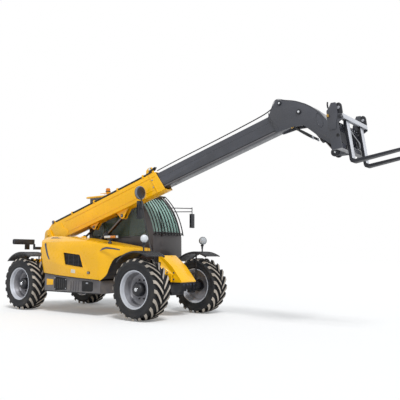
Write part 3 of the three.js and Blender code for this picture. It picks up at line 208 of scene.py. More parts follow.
def make_materials(settings):
    """Every finish of the machine, by its plain name."""
    yellow = tuple(settings.paint_colour) + (1.0,)
    grey = tuple(settings.boom_colour) + (1.0,)
    glass = tuple(settings.glass_colour) + (1.0,)
    dust = settings.dust
    window = {"grain": 3, "bump": 0.01, "spread": 0.03, "IOR": 1.3}
    M.update({
        "yellow": material("yellow paint", yellow, 0.30, coat=0.3, grain=260, bump=0.04, spread=0.05,
                           dust=0.07 * dust, wear=0.3, Specular_IOR_Level=0.3),
        "boom_grey": material("boom grey paint", grey, 0.30, coat=0.3, grain=260, bump=0.05, spread=0.14,
                              dust=0.12 * dust, wear=0.5),
        "glass": material("tinted glass", glass, 0.06, Alpha=0.5, **window),
        # The windscreen's tint darkened: painted shade for the dark cab inside, seen behind the side, rear
        # and door glass
        "glass_painted_shade": material("tinted glass in painted shade", scaled(glass, 0.16), 0.06, Alpha=0.6, **window),
        # The wheel's silver paint darkened: painted shade for the dish and centre of the rims
        "dish_painted_shade": paint("shaded wheel paint", (140, 140, 146), metallic=0.35, spread=0.16,
                           dust=0.35 * dust),
        # Blue-grey for the mirror housings' rounded rims: a painted sheen round the dark housings
        "rim_sheen_grey": paint("blue grey rim sheen", (112, 122, 138), 0.34, coat=0.3, spread=0.1),
        # Hard chrome darkened: painted shade on the cylinder rods, whose own finish is bright chrome
        "chrome_painted_shade": paint("hard chrome in painted shade", (104, 98, 96), 0.2, metallic=0.95, grain=900, bump=0.02,
                           spread=0.12),
        "skirt_grey": paint("skirt grey paint", (96, 94, 97), 0.5, grain=300, dust=0.5 * dust, wear=0.4),
        "cab_grey": paint("cab grey paint", (56, 51, 53), coat=0.2, grain=300, dust=0.2 * dust, wear=0.3),
        "plastic": paint("black moulded plastic", (36, 38, 44), 0.45, grain=420, bump=0.18, spread=0.14,
                         dust=0.25 * dust),
        "iron": paint("dark cast iron", (32, 34, 41), 0.48, metallic=0.2, grain=180, bump=0.3, spread=0.18,
                      dust=0.2 * dust, wear=0.6),
        "silver": paint("silver wheel paint", (196, 199, 207), metallic=0.15, coat=0.1, spread=0.05,
                        dust=0.35 * dust),
        "rubber": paint("tyre rubber", (17, 19, 24), 0.72, grain=150, bump=0.3, spread=0.18,
                        dust=0.12 * dust),
        "lug_top": paint("dusty tread", (172, 163, 152), 0.85, grain=120, bump=0.6, spread=0.3,
                         dust=0.3 * dust),
        "chrome": paint("hard chrome", (214, 216, 220), 0.14, metallic=1.0, grain=900, bump=0.02,
                        spread=0.03),
        "steel": paint("zinc plated steel", (158, 160, 166), metallic=0.8, grain=300, spread=0.12),
        "lens": paint("clear lens", (236, 241, 246), 0.15, grain=220, bump=0.5, Transmission_Weight=0.25),
        "amber": paint("amber lens", (244, 146, 30), 0.2, grain=220, bump=0.4, spread=0.08,
                       Transmission_Weight=0.25, Subsurface_Weight=0.1),
        "red_lens": paint("red lens", (176, 26, 22), 0.2, grain=220, bump=0.4, Transmission_Weight=0.2),
        "blue": paint("dark blue stripe", (34, 50, 84), 0.35, coat=0.2, spread=0.08, dust=0.15 * dust),
        "pale": paint("blank pale label", (212, 207, 190), 0.5, dust=0.3 * dust),
        "white": paint("white pin cap", (226, 228, 230), 0.4, spread=0.04, dust=0.2 * dust),
        "hose": paint("black hose", (26, 27, 29), 0.6, grain=600, bump=0.4, spread=0.15),
        "brass": paint("brass fitting", (196, 158, 84), 0.3, metallic=0.9, spread=0.12),
        "mirror": paint("mirror glass", (190, 205, 215), 0.04, metallic=1.0, bump=0.0, spread=0.02),
        "seal": paint("rubber seal", (20, 20, 22), 0.8, spread=0.1),
        "cloth": seat_fabric(),
    })


# ------------------------------------------------------------------ meshes
SHARP_OUTER_EDGE = math.radians(30)


def new_object(name, mesh):
    obj = bpy.data.objects.new(name, mesh)
    bpy.context.scene.collection.objects.link(obj)
    return obj


def shade(obj, angle=35):
    obj.data.shade_smooth()
    obj.data.set_sharp_from_angle(angle=math.radians(angle))
    return obj


def from_bmesh(name, bm, materials, angle=35, outward=True):
    """An object from a bmesh, with its faces turned outwards unless they already are."""
    if outward:
        bmesh.ops.remove_doubles(bm, verts=bm.verts, dist=1e-4)
        bmesh.ops.recalc_face_normals(bm, faces=bm.faces)
    mesh = bpy.data.meshes.new(name)
    bm.to_mesh(mesh)
    bm.free()
    for finish in materials:
        mesh.materials.append(finish)
    return shade(new_object(name, mesh), angle)


def baked(obj):
    """The object with its modifiers made part of its mesh."""
    graph = bpy.context.evaluated_depsgraph_get()
    old = obj.data
    mesh = bpy.data.meshes.new_from_object(obj.evaluated_get(graph))
    obj.modifiers.clear()
    obj.data = mesh
    bpy.data.meshes.remove(old)
    return obj


@contextmanager
def editing(obj):
    """The object's mesh as a bmesh, written back at the end."""
    bm = bmesh.new()
    bm.from_mesh(obj.data)
    yield bm
    bm.to_mesh(obj.data)
    bm.free()


def bevelled(obj, width):
    """Rounds the sharp outer edges. Inner corners stay as they are, so that no bore gets tighter."""
    with editing(obj) as bm:
        weight = bm.edges.layers.float.new("bevel_weight_edge")
        for edge in bm.edges:
            shared = len(edge.link_faces) == 2
            edge[weight] = float(shared and edge.calc_face_angle_signed(0) > SHARP_OUTER_EDGE)
    modifier = obj.modifiers.new("Bevel", "BEVEL")
    modifier.width = width
    modifier.segments = 2
    modifier.limit_method = "WEIGHT"
    modifier.use_clamp_overlap = True
    return shade(baked(obj), 40)


def placed(obj, matrix):
    obj.data.transform(matrix)
    if matrix.determinant() < 0:
        obj.data.flip_normals()
    obj.data.update()
    return obj


def joined(name, objects):
    """One object from several, each face keeping its material."""
    bm = bmesh.new()
    materials = []
    for obj in objects:
        slots = list(obj.data.materials)
        for finish in slots:
            if finish not in materials:
                materials.append(finish)
        start = len(bm.faces)
        bm.from_mesh(obj.data)
        bm.faces.ensure_lookup_table()
        for face in bm.faces[start:]:
            face.material_index = materials.index(slots[min(face.material_index, len(slots) - 1)])
    for obj in objects:
        bpy.data.objects.remove(obj)
    mesh = bpy.data.meshes.new(name)
    bm.to_mesh(mesh)
    bm.free()
    for finish in materials:
        mesh.materials.append(finish)
    return shade(new_object(name, mesh), 40)


def piece(obj, body, slot, *replaced):
    """Attaches a finished piece to the body it rides on and hides the nodes it stands for. Its slot, the
    finish, is not used.
    """
    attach(obj, body)
    if replaced:
        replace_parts(obj, *replaced)
    return obj


def fittings(name, parts, place, body, slot):
    """Small parts drawn in one frame, joined, placed and attached to their body."""
    return piece(placed(joined(name, parts), place), body, slot)


def node_copy(name, node_name, finish, width=0.0):
    """A node's own shape with its flats made whole and its edges rounded, in metres."""
    bm = bmesh.new()
    bm.from_mesh(NODES[node_name].data)
    bmesh.ops.remove_doubles(bm, verts=bm.verts, dist=2e-5)
    bmesh.ops.dissolve_limit(bm, angle_limit=math.radians(0.5), verts=bm.verts, edges=bm.edges)
    obj = from_bmesh(name, bm, [finish], outward=False)
    return bevelled(obj, width / 1000) if width else obj


def recoloured(obj, finish, test):
    """Gives the finish to every face that the test picks by its centre and normal."""
    obj.data.materials.append(finish)
    for face in obj.data.polygons:
        if test(face.center, face.normal):
            face.material_index = len(obj.data.materials) - 1
    return obj


def sliced(obj, point, normal):
    """Cuts the faces along a plane, so that a finish can end there."""
    with editing(obj) as bm:
        whole = bm.verts[:] + bm.edges[:] + bm.faces[:]
        bmesh.ops.bisect_plane(bm, geom=whole, dist=1e-5, plane_co=point, plane_no=normal)
    return obj


def trimmed(obj, point, normal):
    """Cuts off what lies past a plane and closes the cut."""
    with editing(obj) as bm:
        whole = bm.verts[:] + bm.edges[:] + bm.faces[:]
        bmesh.ops.bisect_plane(bm, geom=whole, dist=1e-5, plane_co=point, plane_no=normal, clear_outer=True)
        bmesh.ops.holes_fill(bm, edges=[edge for edge in bm.edges if edge.is_boundary], sides=0)
    return obj


# ------------------------------------------------------------------ basic forms, in millimetres
def block(x, y, z, finish, width=2.0):
    """A block between pairs of limits, with rounded edges."""
    bm = bmesh.new()
    corners = [bm.verts.new((x[i], y[j], z[k])) for i in (0, 1) for j in (0, 1) for k in (0, 1)]
    for quad in ((0, 1, 3, 2), (4, 6, 7, 5), (0, 4, 5, 1), (2, 3, 7, 6), (0, 2, 6, 4), (1, 5, 7, 3)):
        bm.faces.new([corners[i] for i in quad])
    obj = from_bmesh("block", bm, [finish])
    return bevelled(obj, width) if width else obj


def plate(outline, low, high, finish, width=1.5, axis="Y"):
    """A flat outline given thickness along an axis, with rounded edges."""
    def spot(a, b, depth):
        return {"Y": (a, depth, b), "X": (depth, a, b), "Z": (a, b, depth)}[axis]

    bm = bmesh.new()
    rings = [[bm.verts.new(spot(a, b, depth)) for a, b in outline] for depth in (low, high)]
    bm.faces.new(rings[0])
    bm.faces.new(rings[1][::-1])
    for i in range(len(outline)):
        j = (i + 1) % len(outline)
        bm.faces.new((rings[0][i], rings[1][i], rings[1][j], rings[0][j]))
    obj = from_bmesh("plate", bm, [finish])
    return bevelled(obj, width) if width else obj


def lathe(profile, finish, segments=32, axis="Y", at=(0, 0, 0), closed=False, angle=35):
    """Turns [radius, height] points about an axis. Points on the axis close the ends."""
    def spot(radius, height, turn):
        c, s = radius * math.cos(turn), radius * math.sin(turn)
        return Vector(at) + Vector({"Y": (c, height, s), "X": (height, c, s), "Z": (c, s, height)}[axis])

    bm = bmesh.new()
    rings = []
    for radius, height in profile:
        count = segments if radius > 1e-6 else 1
        rings.append([bm.verts.new(spot(radius, height, 2 * math.pi * i / segments)) for i in range(count)])
    for first, second in zip(rings, rings[1:] + (rings[:1] if closed else [])):
        for i in range(segments):
            j = (i + 1) % segments
            corners = [first[i % len(first)], first[j % len(first)],
                       second[j % len(second)], second[i % len(second)]]
            unique = list(dict.fromkeys(corners))
            if len(unique) > 2:
                bm.faces.new(unique)
    return from_bmesh("turned", bm, [finish], angle)


def disc(at, axis, radius, low, high, finish, segments=28, chamfer=2.0):
    """A round boss or pin head between two heights, with chamfered rims."""
    step = min(chamfer, (high - low) / 3)
    profile = [(0, low), (radius - step, low), (radius, low + step), (radius, high - step),
               (radius - step, high), (0, high)]
    return lathe(profile, finish, segments, axis, at)


def rounded(outline, radius, steps=4):
    """An outline with its corners rounded."""
    result = []
    for i, corner in enumerate(outline):
        here = Vector(corner)
        before, after = Vector(outline[i - 1]), Vector(outline[(i + 1) % len(outline)])
        first = here + (before - here).normalized() * radius
        last = here + (after - here).normalized() * radius
        for k in range(steps + 1):
            t = k / steps
            point = first * (1 - t) ** 2 + here * 2 * t * (1 - t) + last * t * t
            result.append((point.x, point.y))
    return result


def both_sides(spot, *rows):
    """Discs about a cross pin, alike on both sides: each row has a radius, two depths and a finish."""
    return [disc((spot[0], 0, spot[1]), "Y", radius, *sorted((hand * near, hand * far)), M[finish])
            for hand in (-1, 1) for radius, near, far, finish in rows]


def oblong(across, up, radius, steps=4):
    """A rectangle with rounded corners."""
    return rounded([(across[0], up[0]), (across[1], up[0]), (across[1], up[1]), (across[0], up[1])], radius,
                   steps)


def arc(at, radius, start, end, steps=10):
    """Points on an arc, angles in degrees from the first axis towards the second."""
    angles = [math.radians(start + (end - start) * i / steps) for i in range(steps + 1)]
    return [(at[0] + radius * math.cos(a), at[1] + radius * math.sin(a)) for a in angles]


def curve(points, steps=6):
    """A smooth path through the points."""
    points = [Vector(p) for p in points]
    ends = [2 * points[0] - points[1]] + points + [2 * points[-1] - points[-2]]
    path = []
    for a, b, c, d in zip(ends, ends[1:], ends[2:], ends[3:]):
        for i in range(steps):
            t = i / steps
            path.append(0.5 * (2 * b + (c - a) * t + (2 * a - 5 * b + 4 * c - d) * t * t
                               + (3 * b - a - 3 * c + d) * t ** 3))
    return path + [points[-1]]


def tube(points, radius, finish, sides=12):
    """A round tube along a path, closed at both ends."""
    points = [Vector(p) for p in points]
    bm = bmesh.new()
    normal = (points[1] - points[0]).orthogonal().normalized()
    turns = [2 * math.pi * k / sides for k in range(sides)]
    rings = []
    for i, point in enumerate(points):
        along = (points[min(i + 1, len(points) - 1)] - points[max(i - 1, 0)]).normalized()
        normal = (normal - along * normal.dot(along)).normalized()
        side = along.cross(normal)
        spokes = [normal * math.cos(t) + side * math.sin(t) for t in turns]
        rings.append([bm.verts.new(point + radius * spoke) for spoke in spokes])
    for first, second in zip(rings, rings[1:]):
        for k in range(sides):
            m = (k + 1) % sides
            bm.faces.new((first[k], first[m], second[m], second[k]))
    bm.faces.new(rings[0])
    bm.faces.new(rings[-1][::-1])
    return from_bmesh("tube", bm, [finish], 50)


def bolt(at, axis, radius, height, finish, outward=1):
    """A hexagon head on its washer."""
    washer = disc(at, axis, radius * 1.35, *sorted((0, outward * 2.5)), finish, 18, 0.6)
    profile = [(0, outward * 2.5), (radius, outward * 2.5), (radius, outward * (height - 1.5)),
               (radius * 0.86, outward * height), (0, outward * height)]
    return joined("bolt", [washer, lathe(profile, finish, 6, axis, at)])


# ------------------------------------------------------------------ even repeats
def repeat_tree():
    """Copies its input in even steps and turns, makes the copies real and gives them their materials."""
    found = bpy.data.node_groups.get("Even repeats")
    if found:
        return found
    tree = bpy.data.node_groups.new("Even repeats", "GeometryNodeTree")
    tree.interface.new_socket("Geometry", in_out="INPUT", socket_type="NodeSocketGeometry")
    for name, kind in (("Count", "Int"), ("Step", "Vector"), ("Turn", "Vector"), ("Material", "Material"),
                       ("Top Material", "Material")):
        tree.interface.new_socket(name, in_out="INPUT", socket_type="NodeSocket" + kind)
    tree.interface.new_socket("Geometry", in_out="OUTPUT", socket_type="NodeSocketGeometry")
    given = link(tree, "NodeGroupInput").outputs
    index = link(tree, "GeometryNodeInputIndex").outputs[0]

    def so_far(name):
        """A step or turn, times the copy's number."""
        return link(tree, "ShaderNodeVectorMath", {0: given[name], "Scale": index},
                    operation="SCALE").outputs[0]

    rotation = link(tree, "FunctionNodeEulerToRotation", {0: so_far("Turn")}).outputs[0]
    points = link(tree, "GeometryNodePoints", {"Count": given["Count"],
                                               "Position": so_far("Step")}).outputs[0]
    copies = link(tree, "GeometryNodeInstanceOnPoints",
                  {"Points": points, "Instance": given["Geometry"], "Rotation": rotation}).outputs[0]
    real = link(tree, "GeometryNodeRealizeInstances", {0: copies}).outputs[0]
    whole = link(tree, "GeometryNodeSetMaterial",
                 {"Geometry": real, "Material": given["Material"]}).outputs[0]
    is_top = link(tree, "GeometryNodeInputNamedAttribute", {"Name": "top"},
                  data_type="FLOAT").outputs["Attribute"]
    high = link(tree, "FunctionNodeCompare", {0: is_top, 1: 0.5}, data_type="FLOAT",
                operation="GREATER_THAN").outputs[0]
    topped = link(tree, "GeometryNodeSetMaterial",
                  {"Geometry": whole, "Selection": high, "Material": given["Top Material"]}).outputs[0]
    link(tree, "NodeGroupOutput", {0: topped})
    return tree


def repeated(obj, count, step=(0, 0, 0), turn=(0, 0, 0), top=None):
    """The object repeated evenly, as one plain mesh."""
    finish = obj.data.materials[0]
    values = {"Count": count, "Step": step, "Turn": turn, "Material": finish, "Top Material": top or finish}
    modifier = obj.modifiers.new("Even repeats", "NODES")
    modifier.node_group = repeat_tree()
    for item in modifier.node_group.interface.items_tree:
        if item.name in values and item.in_out == "INPUT":
            modifier[item.identifier] = values[item.name]
    return shade(baked(obj), 40)


# ------------------------------------------------------------------ wheels
TYRE_RADIUS = 503  # over the tread bars
LUG_BASE = 458
LUG_LENGTH = 172
LUG_SWEEP = 0.40  # how far a bar turns about the wheel, in radians


def lug(hand):
    """One tread bar: from the shoulder, sweeping towards the middle. Its outer faces are marked as top."""
    bm = bmesh.new()
    rows = []
    for i in range(9):
        t = i / 8
        y = hand * (184 - LUG_LENGTH * t)
        shoulder = max(0.0, 1 - t * 8)
        top = TYRE_RADIUS - 7 * (abs(y) / 185) ** 3 - 34 * shoulder
        low = LUG_BASE - 14 - 40 * shoulder
        turn = LUG_SWEEP * t ** 1.15
        half = (31 - 7 * t) / TYRE_RADIUS
        ring = []
        for radius, offset in ((low, -1.35), (top, -1), (top, 1), (low, 1.35)):
            angle = turn + offset * half
            ring.append(bm.verts.new((radius * math.sin(angle), y, radius * math.cos(angle))))
        rows.append(ring)
    mark = bm.faces.layers.float.new("top")
    for first, second in zip(rows, rows[1:]):
        for k in range(4):
            face = bm.faces.new((first[k], first[(k + 1) % 4], second[(k + 1) % 4], second[k]))
            face[mark] = 1.0 if k == 1 else 0.0
    bm.faces.new(rows[0])
    bm.faces.new(rows[-1][::-1])
    return from_bmesh("lug", bm, [M["rubber"]], 30)


def tyre(name, count):
    half = [(300, 160), (316, 170), (334, 177), (338, 180), (346, 180), (350, 178), (385, 183), (414, 184),
            (418, 186), (426, 186), (430, 183), (442, 178), (452, 168), (458, 150), (461, 110), (462, 50)]
    profile = half + [(462, 0)] + [(r, -y) for r, y in reversed(half)]
    parts = [lathe(profile, M["rubber"], 96, closed=True, angle=50)]
    pitch = 2 * math.pi / count
    for hand in (1, -1):
        bar = lug(hand)
        if hand < 0:
            bar.data.transform(Matrix.Rotation(pitch / 2, 4, "Y"))
        parts.append(repeated(bar, count, turn=(0, pitch, 0), top=M["lug_top"]))
    return joined(name, parts)


def rim(name):
    outer = [(313, 174), (296, 168), (288, 150), (285, 118), (277, 108), (275, 66), (266, 56), (263, 6),
             (252, -16), (240, -24), (200, -28), (150, -20), (118, -4), (112, 4)]
    inner = [(112, -30), (150, -44), (200, -46), (262, -44), (281, -60), (284, -150), (300, -172),
             (315, -174), (315, -160), (298, -150), (292, -110), (288, 0), (292, 110), (298, 150), (315, 160),
             (315, 171)]
    dish = lathe(outer + inner, M["silver"], 96, closed=True, angle=28)
    # Everything inside the flange gets the darkened wheel paint: painted shade in the rim's dish
    recoloured(dish, M["dish_painted_shade"], lambda spot, normal: math.hypot(spot.x, spot.z) < 276)
    hub = lathe([(0, 124), (52, 124), (60, 120), (70, 117), (84, 112), (98, 103), (108, 86), (111, 70),
                 (111, -28), (0, -28)], M["iron"], 64)
    cap = lathe([(0, 136), (20, 135), (30, 131), (34, 124), (34, 114), (0, 114)], M["chrome"], 40)
    studs = repeated(bolt((158, -22, 0), "Y", 13, 20, M["iron"]), 10, turn=(0, math.pi / 5, 0))
    hub_bolts = repeated(bolt((82, 110, 0), "Y", 7, 9, M["iron"]), 8, turn=(0, math.pi / 4, 0))
    valve = tube([(270, 20, 0), (258, 40, 0), (252, 62, 0)], 5, M["brass"], 8)
    return joined(name, [dish, hub, cap, studs, hub_bolts, valve])


# ------------------------------------------------------------------ mudguards and headlamps
GUARD_CENTRE = (20, 22)


def guard_ribs():
    """Raised ribs along the top of a mudguard."""
    def section(radius):
        return arc(GUARD_CENTRE, radius, 62, 133, 22)

    rib = plate(section(605.5) + section(598)[::-1], -196, -178, M["plastic"], 2)
    return repeated(rib, 7, step=(0, 58, 0))


LAMP_Z = 1329 - AXLE_HEIGHT
LAMP_TURN = math.radians(34)
LAMP_FOOT = 1.254  # metres above the ground: the guard's own stem is cut off here


def headlamp(side):
    """A domed lamp on its stem. Both lamps are turned a little to the machine's right."""
    shell = lathe([(0, -30), (36, -28), (58, -14), (70, 8), (74, 30), (74, 44), (67, 46), (67, 38), (0, 34)],
                  M["plastic"], 40, "X")
    lens = lathe([(0, 74), (22, 72), (42, 66), (56, 57), (65, 46), (67, 40), (67, 34), (0, 34)], M["lens"],
                 40, "X")
    lamp = joined("lamp", [shell, lens])
    turn = LAMP_TURN if side == "right" else -LAMP_TURN
    placed(lamp, Matrix.Translation((50, 0, LAMP_Z)) @ Matrix.Rotation(turn, 4, "Z"))
    knuckle = disc((50, 0, LAMP_Z - 88), "Y", 20, -24, 24, M["iron"])
    return [lamp, knuckle, tube([(50, 0, LAMP_Z - 66), (50, 0, LAMP_Z - 150)], 18, M["plastic"], 16)]


def mudguard(end, side):
    name = f"{end}_{side}"
    node_name = name + "_mudguard"
    guard = node_copy(f"mudguard_{name}", node_name, M["plastic"], 3)
    if end == "front":
        trimmed(guard, (0, 0, LAMP_FOOT), (0, 0, 1))
    piece(guard, name + "_knuckle", "black_plastic", node_name)
    parts = [guard_ribs()]
    if end == "front":
        parts += headlamp(side)
    bolts = repeated(bolt((76, -208, 300), "Y", 8, 8, M["steel"]), 3, step=(0, 0, 70))
    fittings(f"mudguard_fittings_{name}", parts + [bolts], wheel_matrix(end, side), name + "_knuckle",
             "black_plastic")


# ------------------------------------------------------------------ engine pod
def swoosh(points, finish):
    """A thin stripe on the bonnet's outer side."""
    return plate(points, SIDE_OF_BONNET - 1.6, SIDE_OF_BONNET + 1, finish, 0)


VENT = [(-195, 888), (322, 836), (222, 1072), (-250, 1115)]  # the bonnet's opening


def vent_slats():
    bar = block([-246, 316], [-937, -914], [842, 851], M["plastic"], 2)
    slats = repeated(bar, 12, step=(0, 0, 23))
    upright = repeated(block([-120, -110], [-934, -926], [840, 1112], M["plastic"], 1), 3, step=(140, 0, 0))
    backing = plate([(-225, 862), (344, 812), (240, 1096), (-276, 1134)], -912, -906, M["seal"], 0)
    return [slats, upright, backing]


def vent_frame():
    """A rounded lip round the vent opening."""
    points = [(x, SIDE_OF_BONNET, z) for x, z in rounded(VENT, 24, 5)]
    return tube(points + points[:1], 6, M["yellow"], 10)


def bonnet_details():
    stripes = [
        swoosh([(-815, 1275), (-775, 1295), (-735, 1180), (-690, 1060), (-640, 985), (-672, 980),
                (-735, 1060), (-785, 1180)], M["blue"]),
        swoosh([(-640, 1372), (-560, 1392), (-420, 1388), (-300, 1366), (-430, 1372), (-560, 1372)],
               M["blue"]),
        swoosh([(742, 1128), (800, 1178), (900, 1200), (1050, 1186), (1236, 1160), (1236, 1140), (1050, 1160),
                (900, 1168), (810, 1150)], M["blue"]),
        swoosh([(-18, 745), (98, 739), (100, 800), (-16, 810)], M["pale"]),
    ]
    bead = tube([(x, -951, z) for x, z in ((-905, 1010), (-815, 726), (-400, 690), (200, 655), (735, 630))],
                6, M["seal"], 8)
    latch = block([430, 500], [-962, -948], [735, 775], M["plastic"], 4)
    handle = repeated(block([440, 448], [-968, -960], [742, 768], M["steel"], 1.5), 4, step=(14, 0, 0))
    knob = lathe([(0, -40), (30, -38), (34, -20), (30, 0), (16, 18), (12, 40), (12, 60), (0, 60)],
                 M["plastic"], 24, "Z", (727, -700, 1290))
    lamp = block([596, 900], [-730, -672], [1352, 1408], M["plastic"], 9)
    clear = block([606, 760], [-736, -726], [1360, 1400], M["lens"], 4)
    flash = block([766, 890], [-736, -726], [1360, 1400], M["amber"], 4)
    front = block([896, 904], [-724, -678], [1360, 1400], M["lens"], 3)
    return stripes + [bead, latch, handle, knob, lamp, clear, flash, front] + vent_slats() + [vent_frame()]


def skirt_details():
    cover = plate(rounded([(-505, 415), (-150, 440), (-150, 640), (-505, 668)], 24), -934, -912, M["seal"], 4)
    rib = repeated(block([-470, -456], [-940, -932], [455, 625], M["plastic"], 2), 6, step=(56, 0, 0))
    corners = [bolt((x, -936, z), "Y", 9, 9, M["steel"], -1) for x, z in
               ((-482, 440), (-172, 462), (-172, 618), (-482, 644))]
    tray = plate(rounded([(275, 425), (545, 430), (545, 590), (275, 610)], 20), -934, -908, M["seal"], 4)
    latch = block([380, 440], [-938, -922], [560, 584], M["steel"], 4)
    plate_yellow = plate(rounded([(-738, 505), (-545, 515), (-545, 612), (-738, 622)], 12), -934, -928,
                         M["yellow"], 1.5)
    edge = tube([(-800, -928, 397), (745, -928, 397)], 9, M["seal"], 8)
    step = repeated(block([-40, -30], [-944, -930], [420, 600], M["skirt_grey"], 3), 4, step=(70, 0, 0))
    return [cover, rib, tray, latch, plate_yellow, edge, step] + corners


def engine_details():
    """Hoses, a belt cover and a filter on the plain engine block, seen from below and through the gap."""
    parts = [
        lathe([(0, 0), (90, 0), (96, 8), (96, 210), (90, 220), (0, 220)], M["iron"], 40, "X",
              (-520, -560, 1040)),
        tube(curve([(-300, -480, 1110), (-180, -500, 1180), (40, -470, 1190), (240, -500, 1120)]), 26,
             M["hose"]),
        tube(curve([(380, -420, 900), (470, -430, 860), (520, -480, 780), (500, -560, 700)]), 22, M["hose"]),
    ]
    fins = repeated(block([425, 432], [-780, -310], [450, 1060], M["iron"], 1), 12, step=(9, 0, 0))
    return parts + [fins]


# ------------------------------------------------------------------ boom
OUTER_SIDE = 105  # half the outer boom's width
LIFT_EYE = (2150, -290)  # along and above the boom's own axis, as every place on the boom
LEVELLING_EYE = (1340, -255)
TILT_FOOT = (6141, -12)
TILT_EYE = (6471, -797)


def boom_details():
    """Ridges, doubler plate, pipes, clamps, brackets and bolts on the outer boom."""
    faces = [(-OUTER_SIDE, 1), (OUTER_SIDE, -1)]
    parts = [block([560, 3180], sorted((side - inward * 5, side + inward)), [v - 7, v + 7], M["yellow"], 2)
             for v in (112, -122) for side, inward in faces]
    doubler = [(-60, -150), (330, -186), (560, -186), (640, -130), (600, -60), (520, -10), (470, 60),
               (440, 140), (380, 172), (240, 176), (60, 140), (-70, 60)]
    for side, inward in faces:
        parts.append(plate(rounded(doubler, 26), *sorted((side - inward * 7, side + inward)), M["yellow"], 2))
    parts += both_sides((0, 0), (92, 104, 113, "yellow"), (46, 112, 122, "iron"))
    parts += both_sides((205, 215), (34, 112, 126, "blue"), (12, 125, 129, "steel"))
    for eye, radius in ((LIFT_EYE, 30), (LEVELLING_EYE, 24)):
        parts += both_sides(eye, (radius, 50, 66, "blue"), (radius * 0.4, 65, 70, "steel"))
    for y, lift in ((-88, 0), (-56, 6)):
        path = [(300, y, 196), (340, y, 208 + lift), (460, y, 209 + lift), (2900, y, 209 + lift),
                (3060, y, 232 + lift), (3180, y, 250)]
        parts.append(tube(curve(path, 5), 19, M["hose"], 14))
    clamp = [block([795, 850], [-112, -34], [180, 196], M["yellow"], 2),
             block([806, 840], [-114, -30], [188, 242], M["yellow"], 7)]
    parts.append(repeated(joined("clamp", clamp), 4, step=(690, 0, 0)))
    bracket = [plate(rounded([(2960, 178), (3180, 178), (3150, 300), (3060, 316), (3000, 290)], 18), -98, -90,
                     M["yellow"], 2),
               block([2980, 3170], [-98, -20], [182, 190], M["yellow"], 2),
               disc((3095, 0, 276), "Y", 22, -122, -96, M["white"]),
               disc((3095, 0, 276), "Y", 30, -104, -88, M["iron"])]
    parts += bracket
    for y in (-90, -62):
        parts.append(tube(curve([(3090, y, 240), (3150, y, 258), (3190, y, 266), (3216, y, 264)]), 14,
                          M["hose"], 12))
    for u, v in ((2740, 60), (3100, 60), (2740, -70), (3100, -70)):
        parts.append(bolt((u, -OUTER_SIDE, v), "Y", 12, 10, M["steel"], -1))
    collar = plate([(3150, -196), (3185, -196), (3062, 182), (3027, 182)], -OUTER_SIDE - 6, -OUTER_SIDE + 1,
                   M["yellow"], 2)
    return parts + [collar]


def inner_details():
    """A paler strip along the lower edges as a painted reflection, a dark line above it as painted shade,
    wear pads, weld seams and pins on the inner boom and its head.
    """
    parts = []
    for low, high in ((-87, -84), (84, 87)):
        # Paler grey strip: painted reflection of the floor on the boom's underside; the dark line above it:
        # painted shade along the lower corner
        parts += [block([3260, 5680], [low, high], [-146, -122], M["skirt_grey"], 0.6),
                  block([3260, 5680], [low + 0.4, high - 0.4], [-116, -106], M["seal"], 0),
                  block([3260, 5660], [low - 0.8, high + 0.8], [52, 62], M["boom_grey"], 1)]
    for hand in (-1, 1):
        y = hand * 104.5
        seam = curve([(5662, y, 196), (5655, y, 130), (5672, y, 50), (5704, y, -20), (5738, y, -90),
                      (5742, y, -146)])
        parts.append(tube(seam, 5, M["boom_grey"], 8))
        oval = curve([(6400, y, -150), (6438, y, -190), (6452, y, -270), (6440, y, -350), (6408, y, -380),
                      (6378, y, -345), (6368, y, -270), (6374, y, -190), (6400, y, -150)])
        parts.append(tube(oval, 6, M["boom_grey"], 8))
        edge = curve([(5709, y, 218), (5837, y, 336), (5991, y, 257), (6168, y, 146), (6362, y, -46),
                      (6500, y, -302)])
        parts.append(tube(edge, 4, M["boom_grey"], 8))
    for pin, radius in (((5881, 258), 34), (TILT_FOOT, 38)):
        parts += both_sides(pin, (radius, 103, 120, "iron"), (radius * 0.45, 119, 124, "white"))
    parts.append(tube(curve([(3185, -9, 228), (3700, -9, 236), (4500, -9, 234), (5300, -9, 240),
                             (5640, -12, 262), (5760, -30, 318)], 8), 9, M["hose"], 10))
    return parts


def head_hoses():
    """Hoses and fittings under the head, laid against its cheeks, clear of the tilt cylinder."""
    parts = []
    for y in (-86, 86):
        for low in (0, 26):
            path = [(5960 + low, y, -176), (6020, y, -226 - low * 0.4), (6100, y, -312 - low),
                    (6176, y, -400 - low), (6226, y, -452 - low)]
            parts.append(tube(curve(path), 9, M["hose"], 12))
            parts.append(lathe([(0, 0), (13, 0), (14, 6), (14, 26), (10, 32), (0, 32)], M["brass"], 6, "Z",
                               (5960 + low, y, -196)))
            parts.append(disc((6230, 0, -456 - low), "Y", 13, *sorted((y - 10, y + 12)), M["steel"]))
    return parts


FORK_BAR = (243, 191)
CHEEK = [(74, 318), (147, 367), (209, 397), (233, 368), (224, 228), (185, 120), (169, 33), (77, 40),
         (65, 137)]
HOOK = [(214, 226), (286, 226), (288, 352), (262, 388), (214, 386)]

